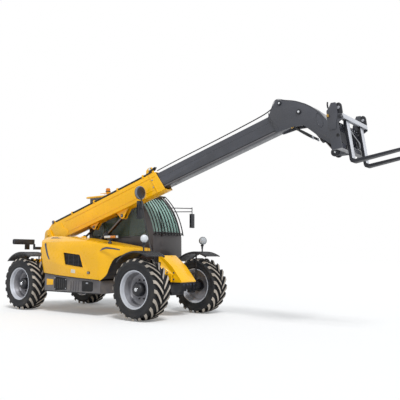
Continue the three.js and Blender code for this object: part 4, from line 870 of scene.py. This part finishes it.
def carriage_details():
    """Cheek plates, hooks, bright fork bar and its keeper, lever, fittings, hoses and pin caps."""
    parts = [lathe([(0, -452), (25.5, -452), (25.5, 452), (0, 452)], M["steel"], 28, "Y",
                   (FORK_BAR[0], 0, FORK_BAR[1])),
             block([279, 287], [-438, 438], [160, 226], M["silver"], 2)]
    for hand in (-1, 1):
        parts.append(plate(rounded(CHEEK, 16), *sorted((hand * 460, hand * 471)), M["boom_grey"], 2))
        parts.append(plate(rounded(HOOK, 20), *sorted((hand * 430, hand * 452)), M["iron"], 3))
    parts += both_sides((240, 318), (22, 425, 460, "steel"))
    parts += both_sides((178, -54), (24, 460, 466, "iron"), (15, 465, 467, "seal"))
    parts += both_sides((0, 0), (44, 150, 166, "iron"), (16, 165, 170, "white"))
    lever = curve([(96, -452, 350), (98, -456, 400), (104, -452, 436)])
    parts.append(tube(lever, 11, M["iron"], 12))
    parts.append(lathe([(0, 0), (15, 0), (17, 5), (17, 34), (11, 40), (0, 40)], M["brass"], 6, "Z",
                       (86, -480, 222)))
    for y in (-70, -40, 40, 70):
        path = [(30, y, 130), (70, y * 1.2, 60), (96, y * 1.5, -30), (90, y * 2.0, -120),
                (118, y * 2.6, -190)]
        parts.append(tube(curve(path), 11, M["hose"], 12))
    lines = curve([(214, -180, 90), (232, -120, 40), (226, 20, -20), (236, 130, -90), (214, 190, -150)])
    parts.append(tube(lines, 12, M["steel"], 10))
    parts.append(tube([p + Vector((4, -70, 6)) for p in lines], 10, M["hose"], 10))
    bolts = repeated(bolt((206, -380, 95), "X", 11, 9, M["steel"]), 9, step=(0, 95, 0))
    return parts + [bolts]


def tilt_eye_details():
    """Bosses and white capped pin heads outside the lugs of the tilt cylinder's eye."""
    return both_sides(TILT_EYE, (62, 54, 70, "iron"), (15, 69, 74, "white"))


def fork_details():
    """Latch blocks on the fork shanks and spacers on the bar."""
    parts = []
    for side in (-1, 1):
        y = side * 253
        parts.append(block([205, 226], [y - 26, y + 26], [120, 150], M["iron"], 4))
        parts += [disc((FORK_BAR[0], 0, FORK_BAR[1]), "Y", 34, low, low + 12, M["iron"])
                  for low in (y - 66, y + 54)]
    return parts


# ------------------------------------------------------------------ cab
SEAT_MIDDLE = 492.5


def cab_details():
    """Seals, roof trim, wiper, handrail, ribs under the rear window and panel joints."""
    parts = [
        tube(curve([(1024, 330, 1440), (1004, 352, 1600), (945, 372, 1780), (880, 384, 1890)]), 7, M["seal"],
             8),
        tube(curve([(1052, 330, 1440), (1030, 352, 1610), (968, 376, 1790)]), 4, M["seal"], 8),
        disc((1000, 330, 1430), "X", 16, 11, 54, M["plastic"]),
    ]
    rail = curve([(-700, 78, 1500), (-712, 74, 1560), (-712, 74, 1980), (-700, 78, 2040)])
    parts.append(tube(rail, 9, M["plastic"], 10))
    for z in (1400, 2180):
        parts.append(tube([(-690, 84, z), (440, 84, z)], 5, M["seal"], 8))
    parts.append(repeated(block([-752, -746], [180, 196], [620, 1380], M["cab_grey"], 2), 12,
                          step=(0, 50, 0)))
    window = [(-751, y, z) for y, z in ((160, 1455), (824, 1455), (824, 2124), (160, 2124), (160, 1455))]
    parts.append(tube(window, 7, M["seal"], 8))
    return parts


def roof_details():
    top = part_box("cab_roof")[1].z * 1000
    ribs = repeated(block([-560, 300], [190, 206], [top - 34, top - 22], M["yellow"], 4), 7, step=(0, 95, 0))
    triangle = plate([(-200, 2262), (-110, 2262), (-155, 2300)], 78, 84, M["plastic"], 1)
    return [ribs, triangle]


def door_details():
    """Handle, lock, window seal and a panel seam on the cab's door."""
    grip = tube(curve([(700, 900, 1180), (708, 912, 1190), (760, 914, 1192), (812, 912, 1190),
                       (820, 900, 1180)]), 10,
                M["plastic"], 12)
    lock = disc((660, 0, 1185), "Y", 17, 898, 908, M["steel"])
    window = [(-400, 1262), (700, 1262), (640, 1400), (265, 2085), (-400, 2085), (-400, 1262)]
    seal = tube([(x, 902, z) for x, z in window], 6, M["seal"], 8)
    seam = tube([(-440, 901, 1220), (770, 901, 1220)], 3.5, M["seal"], 8)
    return [grip, lock, seal, seam]


def beacon_piece():
    low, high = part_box("beacon")
    mid = (low + high) * 500
    place = MACHINE.inverted() @ Vector((mid.x / 1000, mid.y / 1000, low.z))
    foot, top = low.z * 1000, high.z * 1000
    half = (high.x - low.x) * 500
    parts = [
        lathe([(0, foot), (half - 2, foot), (half, foot + 3), (half, foot + 12), (half - 6, foot + 18),
               (0, foot + 18)], M["plastic"], 40, "Z", (place.x, place.y, 0)),
        lathe([(0, foot + 16), (half - 7, foot + 16), (half - 8, top - 26), (half - 13, top - 10),
               (half - 26, top - 2), (0, top)], M["amber"], 40, "Z", (place.x, place.y, 0)),
    ]
    rib = repeated(block([half - 9, half - 6], [-2, 2], [foot + 22, top - 24], M["amber"], 0.8), 20,
                   turn=(0, 0, math.pi / 10))
    return parts + [placed(rib, Matrix.Translation((place.x, place.y, 0)))]


def wheel_ring():
    """The steering wheel's padded ring, its spokes and its knob."""
    bm = bmesh.new()
    rings = []
    for i in range(64):
        a = 2 * math.pi * i / 64
        ring = []
        for k in range(14):
            b = 2 * math.pi * k / 14
            radius = 185 + (16 + 1.2 * math.cos(16 * a)) * math.cos(b)
            ring.append(bm.verts.new((radius * math.cos(a), radius * math.sin(a), 16 * math.sin(b))))
        rings.append(ring)
    for i in range(64):
        for k in range(14):
            j, m = (i + 1) % 64, (k + 1) % 14
            bm.faces.new((rings[i][k], rings[j][k], rings[j][m], rings[i][m]))
    ring = from_bmesh("ring", bm, [M["plastic"]], 60)
    spoke = block([20, 178], [-13, 13], [-8, 4], M["plastic"], 4)
    spokes = repeated(spoke, 3, turn=(0, 0, 2 * math.pi / 3))
    hub = lathe([(0, -26), (36, -24), (44, -10), (40, 6), (24, 12), (0, 13)], M["plastic"], 32, "Z")
    knob = lathe([(0, 10), (10, 10), (10, 24), (20, 34), (22, 48), (14, 60), (0, 63)], M["plastic"], 24, "Z",
                 (120, 140, 0))
    tilt = Vector((0, 0, 1)).rotation_difference(Vector((-0.5, 0, 0.866))).to_matrix().to_4x4()
    wheel = joined("wheel", [ring, spokes, hub, knob])
    placed(wheel, Matrix.Translation((470, SEAT_MIDDLE, 1450)) @ tilt)
    levers = [tube(curve([(640, 400 + 60 * i, 1305), (630, 396 + 60 * i, 1370), (620, 392 + 60 * i, 1410)]),
                   7, M["plastic"], 10) for i in range(3)]
    dials = [disc((720, y, 1322), "Z", 26, 0, 8, M["steel"]) for y in (440, 545)]
    return [wheel] + levers + dials


# ------------------------------------------------------------------ seat
FINE_VOXEL = 0.006
CLOTH_STEPS = 20
CLOTH_PRESSURE = 4


def cushion(name, outline, low, high, cap):
    """A padded form: the remeshed outline blown up as cloth, each point kept within the cap."""
    obj = plate(rounded(outline, 34, 5), low, high, M["cloth"], 24)
    obj.name = name
    obj.data.transform(MACHINE)
    remesh = obj.modifiers.new("Remesh", "REMESH")
    remesh.mode = "VOXEL"
    remesh.voxel_size = FINE_VOXEL
    baked(obj)
    rest = [v.co.copy() for v in obj.data.vertices]
    cloth = obj.modifiers.new("Cloth", "CLOTH")
    cloth.settings.use_pressure = True
    cloth.settings.uniform_pressure_force = CLOTH_PRESSURE
    cloth.settings.effector_weights.gravity = 0
    cloth.point_cache.frame_start = 1
    cloth.point_cache.frame_end = CLOTH_STEPS
    for step in range(1, CLOTH_STEPS + 1):
        bpy.context.scene.frame_set(step)
    baked(obj)
    bpy.context.scene.frame_set(1)
    for vertex, start in zip(obj.data.vertices, rest):
        move = vertex.co - start
        if move.length > cap / 1000:
            vertex.co = start + move.normalized() * cap / 1000
    smooth = obj.modifiers.new("Subdivision", "SUBSURF")
    smooth.levels = smooth.render_levels = 1
    return shade(baked(obj), 60)


def seam_on(obj, points, radius=4.5):
    """Piping that follows the cushion's own surface near the given points."""
    bpy.context.view_layer.update()
    path = []
    for point in points:
        target = MACHINE @ Vector(point)
        _, spot, normal, _ = obj.closest_point_on_mesh(target)
        path.append(spot + normal * 0.0015)
    local = [MACHINE.inverted() @ p for p in path]
    return tube(local, radius, M["seal"], 8)


def seat_pieces():
    mid = SEAT_MIDDLE
    bottom_line = [(-412, 992), (60, 992), (80, 1030), (58, 1078), (-390, 1060)]
    back_line = [(-494, 1056), (-392, 1056), (-466, 1612), (-506, 1746), (-560, 1746), (-562, 1600)]
    bottom = cushion("seat_cushion", bottom_line, mid - 228, mid + 228, 20)
    back = cushion("seat_back", back_line, mid - 212, mid + 212, 20)
    frame_parts = [block([-340, -20], [mid - 168, mid + 168], [592, 640], M["iron"], 6),
                   block([-330, -30], [mid - 150, mid + 150], [640, 968], M["seal"], 30),
                   block([-410, 40], [mid - 200, mid + 200], [962, 984], M["iron"], 8),
                   block([-478, -420], [mid - 60, mid + 60], [966, 1060], M["iron"], 8)]
    folds = repeated(block([-338, -22], [mid - 158, mid + 158], [668, 684], M["seal"], 7), 6, step=(0, 0, 48))
    base = fittings("seat_base", frame_parts + [folds], MACHINE, "chassis", "seat_cover")
    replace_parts(base, "seat")
    seams = []
    for y in (mid - 222, mid + 222):
        seams.append(seam_on(bottom, [(x, y, 1072 - 0.02 * (60 - x)) for x in range(-380, 61, 44)]))
        line = [(-392 - 0.133 * (z - 1056), y * 0.985 + mid * 0.015, z) for z in range(1080, 1600, 52)]
        seams.append(seam_on(back, line))
    for x in (-260, -110):
        seams.append(seam_on(bottom, [(x, mid + d, 1076) for d in range(-200, 201, 40)], 3.5))
    for z in (1250, 1430):
        seams.append(seam_on(back, [(-400 - 0.133 * (z - 1056), mid + d, z) for d in range(-190, 191, 38)],
                             3.5))
    fittings("seat_seams", seams, MACHINE, "chassis", "seat_cover")
    for obj in (bottom, back):
        piece(obj, "chassis", "seat_cover")


# ------------------------------------------------------------------ mirrors and lamp bar
def mirror_details():
    """Rims and glass on the mirror heads, which look back at the driver. Their blue-grey rims are a painted
    sheen on the housings' rounded edges.
    """
    right = [
        lathe([(0, 1126), (104, 1128), (116, 1122), (121, 1106), (116, 1090), (104, 1084), (0, 1084)],
              M["plastic"], 48, "X", (0, -350, 2170)),
        lathe([(0, 1081), (100, 1081), (104, 1084), (0, 1084)], M["mirror"], 48, "X", (0, -350, 2170)),
        lathe([(104, 1128), (118, 1125), (124, 1108), (118, 1094), (110, 1110)], M["rim_sheen_grey"], 48, "X",
              (0, -350, 2170), closed=True),
        plate(oblong((-420, -290), (1705, 2020), 60, 10), 1092, 1124, M["rim_sheen_grey"], 8, "X"),
        plate(oblong((-408, -302), (1718, 2007), 50, 10), 1118, 1130, M["plastic"], 6, "X"),
        plate(oblong((-410, -300), (1716, 2009), 50, 10), 1089, 1093, M["mirror"], 1, "X"),
        disc((1268, -350, 1500), "Z", 20, -14, 14, M["iron"]),
    ]
    left = [
        plate(oblong((1064, 1174), (1600, 1880), 44, 8), 1100, 1138, M["rim_sheen_grey"], 9, "X"),
        plate(oblong((1074, 1164), (1612, 1868), 36, 8), 1132, 1142, M["plastic"], 4, "X"),
        plate(oblong((1074, 1164), (1610, 1870), 36, 8), 1097, 1101, M["mirror"], 1, "X"),
    ]
    return right + left


def lamp_bar_details():
    """Stop, turn and reversing lamps on the rear bar, and its bracket."""
    parts = []
    for y, finish in ((-770, "red_lens"), (-680, "amber"), (-590, "lens"), (-410, "red_lens")):
        parts.append(block([-2098, -2086], [y - 36, y + 36], [1306, 1376], M[finish], 7))
        parts.append(block([-2092, -2084], [y - 42, y + 42], [1299, 1383], M["plastic"], 4))
    parts.append(block([-2036, -2026], [-560, -440], [1180, 1300], M["iron"], 4))
    return parts


def chassis_details():
    """Bolts, and a hose with a steel line beside it, on the chassis, and the blue bolt heads of the nose."""
    parts = [repeated(bolt((1952, -140, 560), "X", 11, 10, M["blue"]), 4, step=(0, 90, 0))]
    for z in (650, 760):
        parts.append(repeated(bolt((1800, -226, z), "Y", 13, 12, M["blue"], -1), 2, step=(-150, 0, 0)))
    for x in (-1900, -1300):
        parts.append(repeated(bolt((x, -214, 700), "Y", 12, 10, M["steel"], -1), 2, step=(0, 0, 60)))
    lines = curve([(-1180, -190, 840), (-700, -176, 870), (0, -176, 850), (700, -176, 850),
                   (1080, -176, 830)], 6)
    parts.append(tube(lines, 12, M["hose"], 10))
    parts.append(tube([p + Vector((0, 0, 30)) for p in lines], 9, M["steel"], 10))
    return parts


def boom_to_machine(spot):
    place = MACHINE.inverted() @ (BOOM @ Vector((spot[0], 0, spot[1])))
    return (place.x, place.z)


def cylinder_details(name, place, side, foot, eye, radius, length):
    """A gland ring, a feed pipe and its clips on a barrel, which points from its foot to its rod's eye."""
    turn = math.atan2(eye[1] - foot[1], eye[0] - foot[0])
    local = Matrix.Translation((foot[0], side, foot[1])) @ Matrix.Rotation(-turn, 4, "Y")
    gland = lathe([(radius - 4, length - 66), (radius + 9, length - 60), (radius + 9, length - 6),
                   (radius + 4, length), (radius - 22, length + 4), (radius - 22, length - 66)], M["iron"],
                  40, "X", closed=True)
    pipe = tube(curve([(90, 0, radius + 2), (120, 0, radius + 12), (length - 140, 0, radius + 12),
                       (length - 96, 0, radius + 2)]), 7, M["steel"], 10)
    clips = repeated(block([180, 200], [-12, 12], [radius - 2, radius + 21], M["iron"], 3), 3,
                     step=((length - 340) / 2, 0, 0))
    fittings(f"{name}_cylinder_fittings", [gland, pipe, clips], place @ local, f"{name}_barrel",
             "black_plastic")


# ------------------------------------------------------------------ stage
CAMERA_PLACE = (7756, -7176, 1050)
CAMERA_TURN = math.radians(37.8)
CAMERA_RISE = math.radians(5.97)
CAMERA_LENS = 47.97
SUN_FROM = Vector((0.55, -0.42, 0.8))
SUN_SPREAD = math.radians(16)
FLOOR_HALF = 60  # metres
FLOOR_DROP = 0.002  # under the tyres, so that the two never share a plane


def shown_white(tree, plain):
    """White to the camera, to gloss and through glass, and plain to light itself."""
    rays = link(tree, "ShaderNodeLightPath").outputs
    seen = link(tree, "ShaderNodeMath", {0: rays["Is Camera Ray"], 1: rays["Is Glossy Ray"]},
                operation="MAXIMUM")
    both = link(tree, "ShaderNodeMath", {0: seen.outputs[0], 1: rays["Is Transmission Ray"]},
                operation="MAXIMUM")
    white = link(tree, "ShaderNodeBackground", {"Color": (1, 1, 1, 1), "Strength": 1.0})
    return link(tree, "ShaderNodeMixShader", {0: both.outputs[0], 1: plain, 2: white.outputs[0]}).outputs[0]


def make_camera():
    camera = bpy.data.objects.new("camera", bpy.data.cameras.new("camera"))
    bpy.context.scene.collection.objects.link(camera)
    forward = Vector((-math.sin(CAMERA_TURN) * math.cos(CAMERA_RISE),
                      math.cos(CAMERA_TURN) * math.cos(CAMERA_RISE), math.sin(CAMERA_RISE)))
    camera.matrix_world = (Matrix.Translation(MACHINE @ Vector(CAMERA_PLACE))
                           @ forward.to_track_quat("-Z", "Y").to_matrix().to_4x4())
    camera.data.lens = CAMERA_LENS
    camera.data.sensor_width = 36
    camera.data.clip_end = 200
    bpy.context.scene.camera = camera
    return camera


def make_sky(strength):
    """Soft light from all round, on a white background."""
    world = bpy.data.worlds.new("soft sky")
    bpy.context.scene.world = world
    world.use_nodes = True
    tree = world.node_tree
    tree.nodes.clear()
    plain = link(tree, "ShaderNodeBackground", {"Color": (0.94, 0.97, 1, 1), "Strength": strength})
    link(tree, "ShaderNodeOutputWorld", {"Surface": shown_white(tree, plain.outputs[0])})


def make_sun(strength):
    sun = bpy.data.objects.new("sun", bpy.data.lights.new("sun", "SUN"))
    sun.data.energy = strength
    sun.data.angle = SUN_SPREAD
    sun.rotation_euler = SUN_FROM.to_track_quat("Z", "Y").to_euler()
    bpy.context.scene.collection.objects.link(sun)
    return sun


def make_floor():
    bm = bmesh.new()
    bmesh.ops.create_grid(bm, x_segments=8, y_segments=8, size=FLOOR_HALF)
    floor = from_bmesh("floor", bm, [floor_finish()], outward=False)
    floor.data.transform(Matrix.Translation((0, 0, -FLOOR_DROP)))
    return floor


def make_stage(settings):
    camera = make_camera()
    bpy.context.scene.view_settings.view_transform = "Standard"
    make_sky(settings.sky_level)
    sun = make_sun(settings.sun_level)
    make_floor()


def floor_finish():
    """A pale floor that keeps the object's shadow and shows light where nothing shades it."""
    made = bpy.data.materials.new("pale floor")
    made.use_nodes = True
    tree = made.node_tree
    shader = tree.nodes["Principled BSDF"]
    shader.inputs["Base Color"].default_value = (0.82, 0.82, 0.82, 1)
    shader.inputs["Roughness"].default_value = 0.95
    shader.inputs["Specular IOR Level"].default_value = 0.1
    seen = link(tree, "ShaderNodeLightPath").outputs["Is Camera Ray"]
    lift = link(tree, "ShaderNodeEmission", {"Color": (1, 1, 1, 1), "Strength": times(tree, seen, 0.16)})
    both = link(tree, "ShaderNodeAddShader", {0: shader.outputs[0], 1: lift.outputs[0]})
    tree.links.new(both.outputs[0], tree.nodes["Material Output"].inputs["Surface"])
    return made


# ------------------------------------------------------------------ pieces made from the frame's own shapes
# name, node, body, slot, finish, edge width in millimetres
CARRIED_OVER = {
    "chassis": [
        ("chassis_weldment", "chassis_frame", "chassis", "yellow_paint", "yellow", 3),
        ("axle_front", "front_axle", "chassis", "cast_black", "iron", 6),
        ("axle_rear", "rear_axle", "chassis", "cast_black", "iron", 6),
        ("engine_cover", "engine_block", "chassis", "cast_black", "iron", 12),
        ("fuel_tank_shell", "fuel_tank", "chassis", "black_plastic", "plastic", 10),
        ("lamp_bar", "rear_lamp_bar", "chassis", "black_plastic", "plastic", 5),
    ],
    "pod": [
        ("bonnet_shell", "engine_bonnet", "bonnet", "yellow_paint", "yellow", 9),
        ("skirt_panel", "side_skirt", "chassis", "skirt_grey", "skirt_grey", 0),
    ],
    "boom": [
        ("boom_outer_section", "outer_boom", "outer_boom", "yellow_paint", "yellow", 4),
        ("boom_inner_section", "inner_boom", "inner_boom", "boom_grey", "boom_grey", 7),
        ("boom_head_casting", "boom_head", "inner_boom", "boom_grey", "boom_grey", 4),
    ],
    "carriage": [
        ("carriage_frame", "fork_carriage", "carriage", "boom_grey", "boom_grey", 3),
        ("forks", "pallet_forks", "carriage", "cast_black", "iron", 3),
    ],
    "cylinders": [
        ("lift_barrel_shell", "lift_cylinder_barrel", "lift_barrel", "black_plastic", "plastic", 2),
        ("lift_rod_bar", "lift_cylinder_rod", "lift_rod", "chrome", "chrome_painted_shade", 1.5),
        ("levelling_barrel_shell", "levelling_cylinder_barrel", "levelling_barrel", "black_plastic",
         "plastic", 2),
        ("levelling_rod_bar", "levelling_cylinder_rod", "levelling_rod", "chrome", "chrome_painted_shade", 1.5),
        ("tilt_barrel_shell", "tilt_cylinder_barrel", "tilt_barrel", "black_plastic", "plastic", 2),
        ("tilt_rod_bar", "tilt_cylinder_rod", "tilt_rod", "chrome", "chrome_painted_shade", 1.5),
    ],
    "cab": [
        ("cab_body", "cab_shell", "chassis", "cab_grey", "cab_grey", 4),
        ("cab_roof_skin", "cab_roof", "chassis", "yellow_paint", "yellow", 14),
        ("cab_windscreen", "windscreen", "chassis", "tinted_glass", "glass", 0),
        ("side_window", "cab_side_glass", "chassis", "tinted_glass", "glass_painted_shade", 1),
        ("rear_window", "cab_rear_glass", "chassis", "tinted_glass", "glass_painted_shade", 1),
        ("screen_guard", "windscreen_guard", "chassis", "black_plastic", "seal", 0),
        ("console", "control_console", "chassis", "black_plastic", "plastic", 3),
        ("door_panel", "cab_door", "cab_door", "cab_grey", "cab_grey", 4),
        ("door_window", "door_glass", "cab_door", "tinted_glass", "glass_painted_shade", 1),
    ],
    "mirrors": [
        ("mirror_stalk_right", "right_mirrors", "chassis", "black_plastic", "plastic", 1),
        ("mirror_stalk_left", "left_mirror", "chassis", "black_plastic", "plastic", 1),
    ],
}


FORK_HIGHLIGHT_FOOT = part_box("pallet_forks")[0].z + 0.09  # the shanks' forward faces are silver above this height, in metres: painted highlight where the light falls on them
NOSE_PAINT_FOOT = 0.6  # the nose is yellow above this height, in metres


def carry_over(group):
    for name, node_name, body, slot_name, finish, width in CARRIED_OVER[group]:
        piece(node_copy(name, node_name, M[finish], width), body, slot_name, node_name)


# ------------------------------------------------------------------ add-on
class TelehandlerSettings(bpy.types.PropertyGroup):
    """What a user would change."""

    paint_colour: FloatVectorProperty(name="Paint", description="Colour of the yellow paint", subtype="COLOR",
                                      default=rgb(246, 184, 0)[:3], min=0, max=1)
    boom_colour: FloatVectorProperty(name="Boom grey", description="Colour of the inner boom and carriage",
                                     subtype="COLOR", default=rgb(60, 62, 70)[:3], min=0, max=1)
    glass_colour: FloatVectorProperty(name="Glass", description="Tint of the cab's glass", subtype="COLOR",
                                      default=rgb(196, 238, 226)[:3], min=0, max=1)
    dust: FloatProperty(name="Dust", description="How much road dust lies on the lower parts", default=0.8,
                        min=0, max=1, subtype="FACTOR")
    lugs: IntProperty(name="Tread bars", description="Tread bars on each side of a tyre", default=20, min=8,
                      max=40)
    sky_level: FloatProperty(name="Sky", description="Strength of the soft light from all round", default=0.5,
                             min=0, max=3)
    sun_level: FloatProperty(name="Sun", description="Strength of the soft light from above", default=2.3,
                             min=0, max=10)


class StageOperator(bpy.types.Operator):
    """Adds the camera, the floor, the lights and every material."""

    bl_idname = "telehandler.stage"
    bl_label = "Stage and materials"

    def execute(self, context):
        make_stage(context.scene.telehandler)
        make_materials(context.scene.telehandler)
        return {"FINISHED"}


class TyresOperator(bpy.types.Operator):
    """Adds the four tyres with their tread bars."""

    bl_idname = "telehandler.tyres"
    bl_label = "Tyres"

    def execute(self, context):
        for end, side in CORNERS:
            name = f"{end}_{side}"
            obj = placed(tyre(f"tyre_{name}", context.scene.telehandler.lugs), wheel_matrix(end, side))
            piece(obj, name + "_wheel", "tyre", name + "_tyre")
        return {"FINISHED"}


class RimsOperator(bpy.types.Operator):
    """Adds the four rims with hubs, studs and valves, and the steering knuckles."""

    bl_idname = "telehandler.rims"
    bl_label = "Rims and knuckles"

    def execute(self, context):
        for end, side in CORNERS:
            name = f"{end}_{side}"
            piece(placed(rim(f"rim_{name}"), wheel_matrix(end, side)), name + "_wheel", "silver_paint",
                  name + "_rim")
            piece(node_copy(f"knuckle_{name}", name + "_knuckle", M["iron"], 4), name + "_knuckle",
                  "cast_black", name + "_knuckle")
        return {"FINISHED"}


class MudguardsOperator(bpy.types.Operator):
    """Adds the ribbed mudguards, their bolts and the front pair's headlamps."""

    bl_idname = "telehandler.mudguards"
    bl_label = "Mudguards and headlamps"

    def execute(self, context):
        for end, side in CORNERS:
            mudguard(end, side)
        return {"FINISHED"}


class ChassisOperator(bpy.types.Operator):
    """Adds the chassis, the axles, the tank and the rear lamp bar."""

    bl_idname = "telehandler.chassis"
    bl_label = "Chassis"

    def execute(self, context):
        carry_over("chassis")
        frame_piece = sliced(bpy.data.objects["chassis_weldment"], (0, 0, NOSE_PAINT_FOOT), (0, 0, 1))
        front = (MACHINE @ Vector((1180, 0, 0))).x
        recoloured(frame_piece, M["iron"], lambda spot, normal: spot.z < NOSE_PAINT_FOOT and spot.x > front)
        fittings("chassis_fittings", chassis_details(), MACHINE, "chassis", "cast_black")
        fittings("engine_fittings", engine_details(), MACHINE, "chassis", "cast_black")
        fittings("lamp_bar_lenses", lamp_bar_details(), MACHINE, "chassis", "black_plastic")
        return {"FINISHED"}


class PodOperator(bpy.types.Operator):
    """Adds the engine bonnet with its vent and stripes, and the lower skirt."""

    bl_idname = "telehandler.pod"
    bl_label = "Engine pod"

    def execute(self, context):
        carry_over("pod")
        arch = MACHINE @ Vector((735, -935, 1112))

        # Bonnet faces inside the wheel arch get black plastic: painted shade where the yellow arch walls fall
        # dark
        def arch_painted_shade(spot, normal):
            return spot.x > arch.x and spot.z < arch.z and normal.y > -0.2 and normal.z < 0.5

        recoloured(bpy.data.objects["bonnet_shell"], M["plastic"], arch_painted_shade)
        fittings("bonnet_fittings", bonnet_details(), MACHINE, "bonnet", "black_plastic")
        fittings("skirt_fittings", skirt_details(), MACHINE, "chassis", "black_plastic")
        return {"FINISHED"}


class BoomOperator(bpy.types.Operator):
    """Adds both boom sections, the head, and their pipes, clamps, pins and welds."""

    bl_idname = "telehandler.boom"
    bl_label = "Boom"

    def execute(self, context):
        carry_over("boom")
        fittings("boom_outer_fittings", boom_details(), BOOM, "outer_boom", "yellow_paint")
        fittings("boom_inner_fittings", inner_details(), BOOM, "inner_boom", "boom_grey")
        fittings("boom_head_hoses", head_hoses(), BOOM, "inner_boom", "black_plastic")
        return {"FINISHED"}


class CarriageOperator(bpy.types.Operator):
    """Adds the fork carriage and the pallet forks."""

    bl_idname = "telehandler.carriage"
    bl_label = "Carriage and forks"

    def execute(self, context):
        carry_over("carriage")
        # Forward faces of the black shanks in silver: a painted highlight on their lit side
        recoloured(bpy.data.objects["forks"], M["silver"],
                   lambda spot, normal: normal.x > 0.9 and spot.z > FORK_HIGHLIGHT_FOOT)
        fittings("carriage_fittings", carriage_details() + fork_details(), CARRIAGE, "carriage", "cast_black")
        fittings("tilt_eye_pins", tilt_eye_details(), BOOM, "carriage", "cast_black")
        return {"FINISHED"}


class CylindersOperator(bpy.types.Operator):
    """Adds the lift, levelling and tilt cylinders."""

    bl_idname = "telehandler.cylinders"
    bl_label = "Cylinders"

    def execute(self, context):
        carry_over("cylinders")
        side = BOOM_PIVOT[1]
        cylinder_details("lift", MACHINE, side, (-1240, 520), boom_to_machine(LIFT_EYE), 58, 1569)
        cylinder_details("levelling", MACHINE, side, (-1527, 924), boom_to_machine(LEVELLING_EYE), 38, 984)
        cylinder_details("tilt", BOOM, 0, TILT_FOOT, TILT_EYE, 50, 590)
        return {"FINISHED"}


class CabOperator(bpy.types.Operator):
    """Adds the cab, its door, glass, guard, beacon and controls."""

    bl_idname = "telehandler.cab"
    bl_label = "Cab"

    def execute(self, context):
        carry_over("cab")
        fittings("cab_fittings", cab_details(), MACHINE, "chassis", "black_plastic")
        fittings("roof_fittings", roof_details(), MACHINE, "chassis", "yellow_paint")
        fittings("door_fittings", door_details(), MACHINE, "cab_door", "black_plastic")
        fittings("steering_wheel", wheel_ring(), MACHINE, "chassis", "black_plastic")
        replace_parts(fittings("beacon_lamp", beacon_piece(), MACHINE, "chassis", "amber_lens"), "beacon")
        return {"FINISHED"}


class SeatOperator(bpy.types.Operator):
    """Adds the driver's seat: two padded cushions on a sprung base."""

    bl_idname = "telehandler.seat"
    bl_label = "Seat"

    def execute(self, context):
        seat_pieces()
        return {"FINISHED"}


class MirrorsOperator(bpy.types.Operator):
    """Adds the mirrors on both sides."""

    bl_idname = "telehandler.mirrors"
    bl_label = "Mirrors"

    def execute(self, context):
        carry_over("mirrors")
        fittings("mirror_heads", mirror_details(), MACHINE, "chassis", "black_plastic")
        return {"FINISHED"}


OPERATORS = (StageOperator, TyresOperator, RimsOperator, MudguardsOperator, ChassisOperator, PodOperator,
             BoomOperator, CarriageOperator, CylindersOperator, CabOperator, SeatOperator, MirrorsOperator)


class TelehandlerPanel(bpy.types.Panel):
    """Lists the settings and every piece."""

    bl_idname = "VIEW3D_PT_telehandler"
    bl_label = "Telehandler"
    bl_space_type = "VIEW_3D"
    bl_region_type = "UI"
    bl_category = "Telehandler"

    def draw(self, context):
        settings = context.scene.telehandler
        for name in TelehandlerSettings.__annotations__:
            self.layout.prop(settings, name)
        for operator in OPERATORS:
            self.layout.operator(operator.bl_idname)


CLASSES = (TelehandlerSettings,) + OPERATORS + (TelehandlerPanel,)


def register():
    for item in CLASSES:
        bpy.utils.register_class(item)
    bpy.types.Scene.telehandler = PointerProperty(type=TelehandlerSettings)


def unregister():
    del bpy.types.Scene.telehandler
    for item in reversed(CLASSES):
        bpy.utils.unregister_class(item)


def main():
    register()
    for operator in OPERATORS:
        group, name = operator.bl_idname.split(".")
        getattr(getattr(bpy.ops, group), name)()


if __name__ == "__main__":
    main()
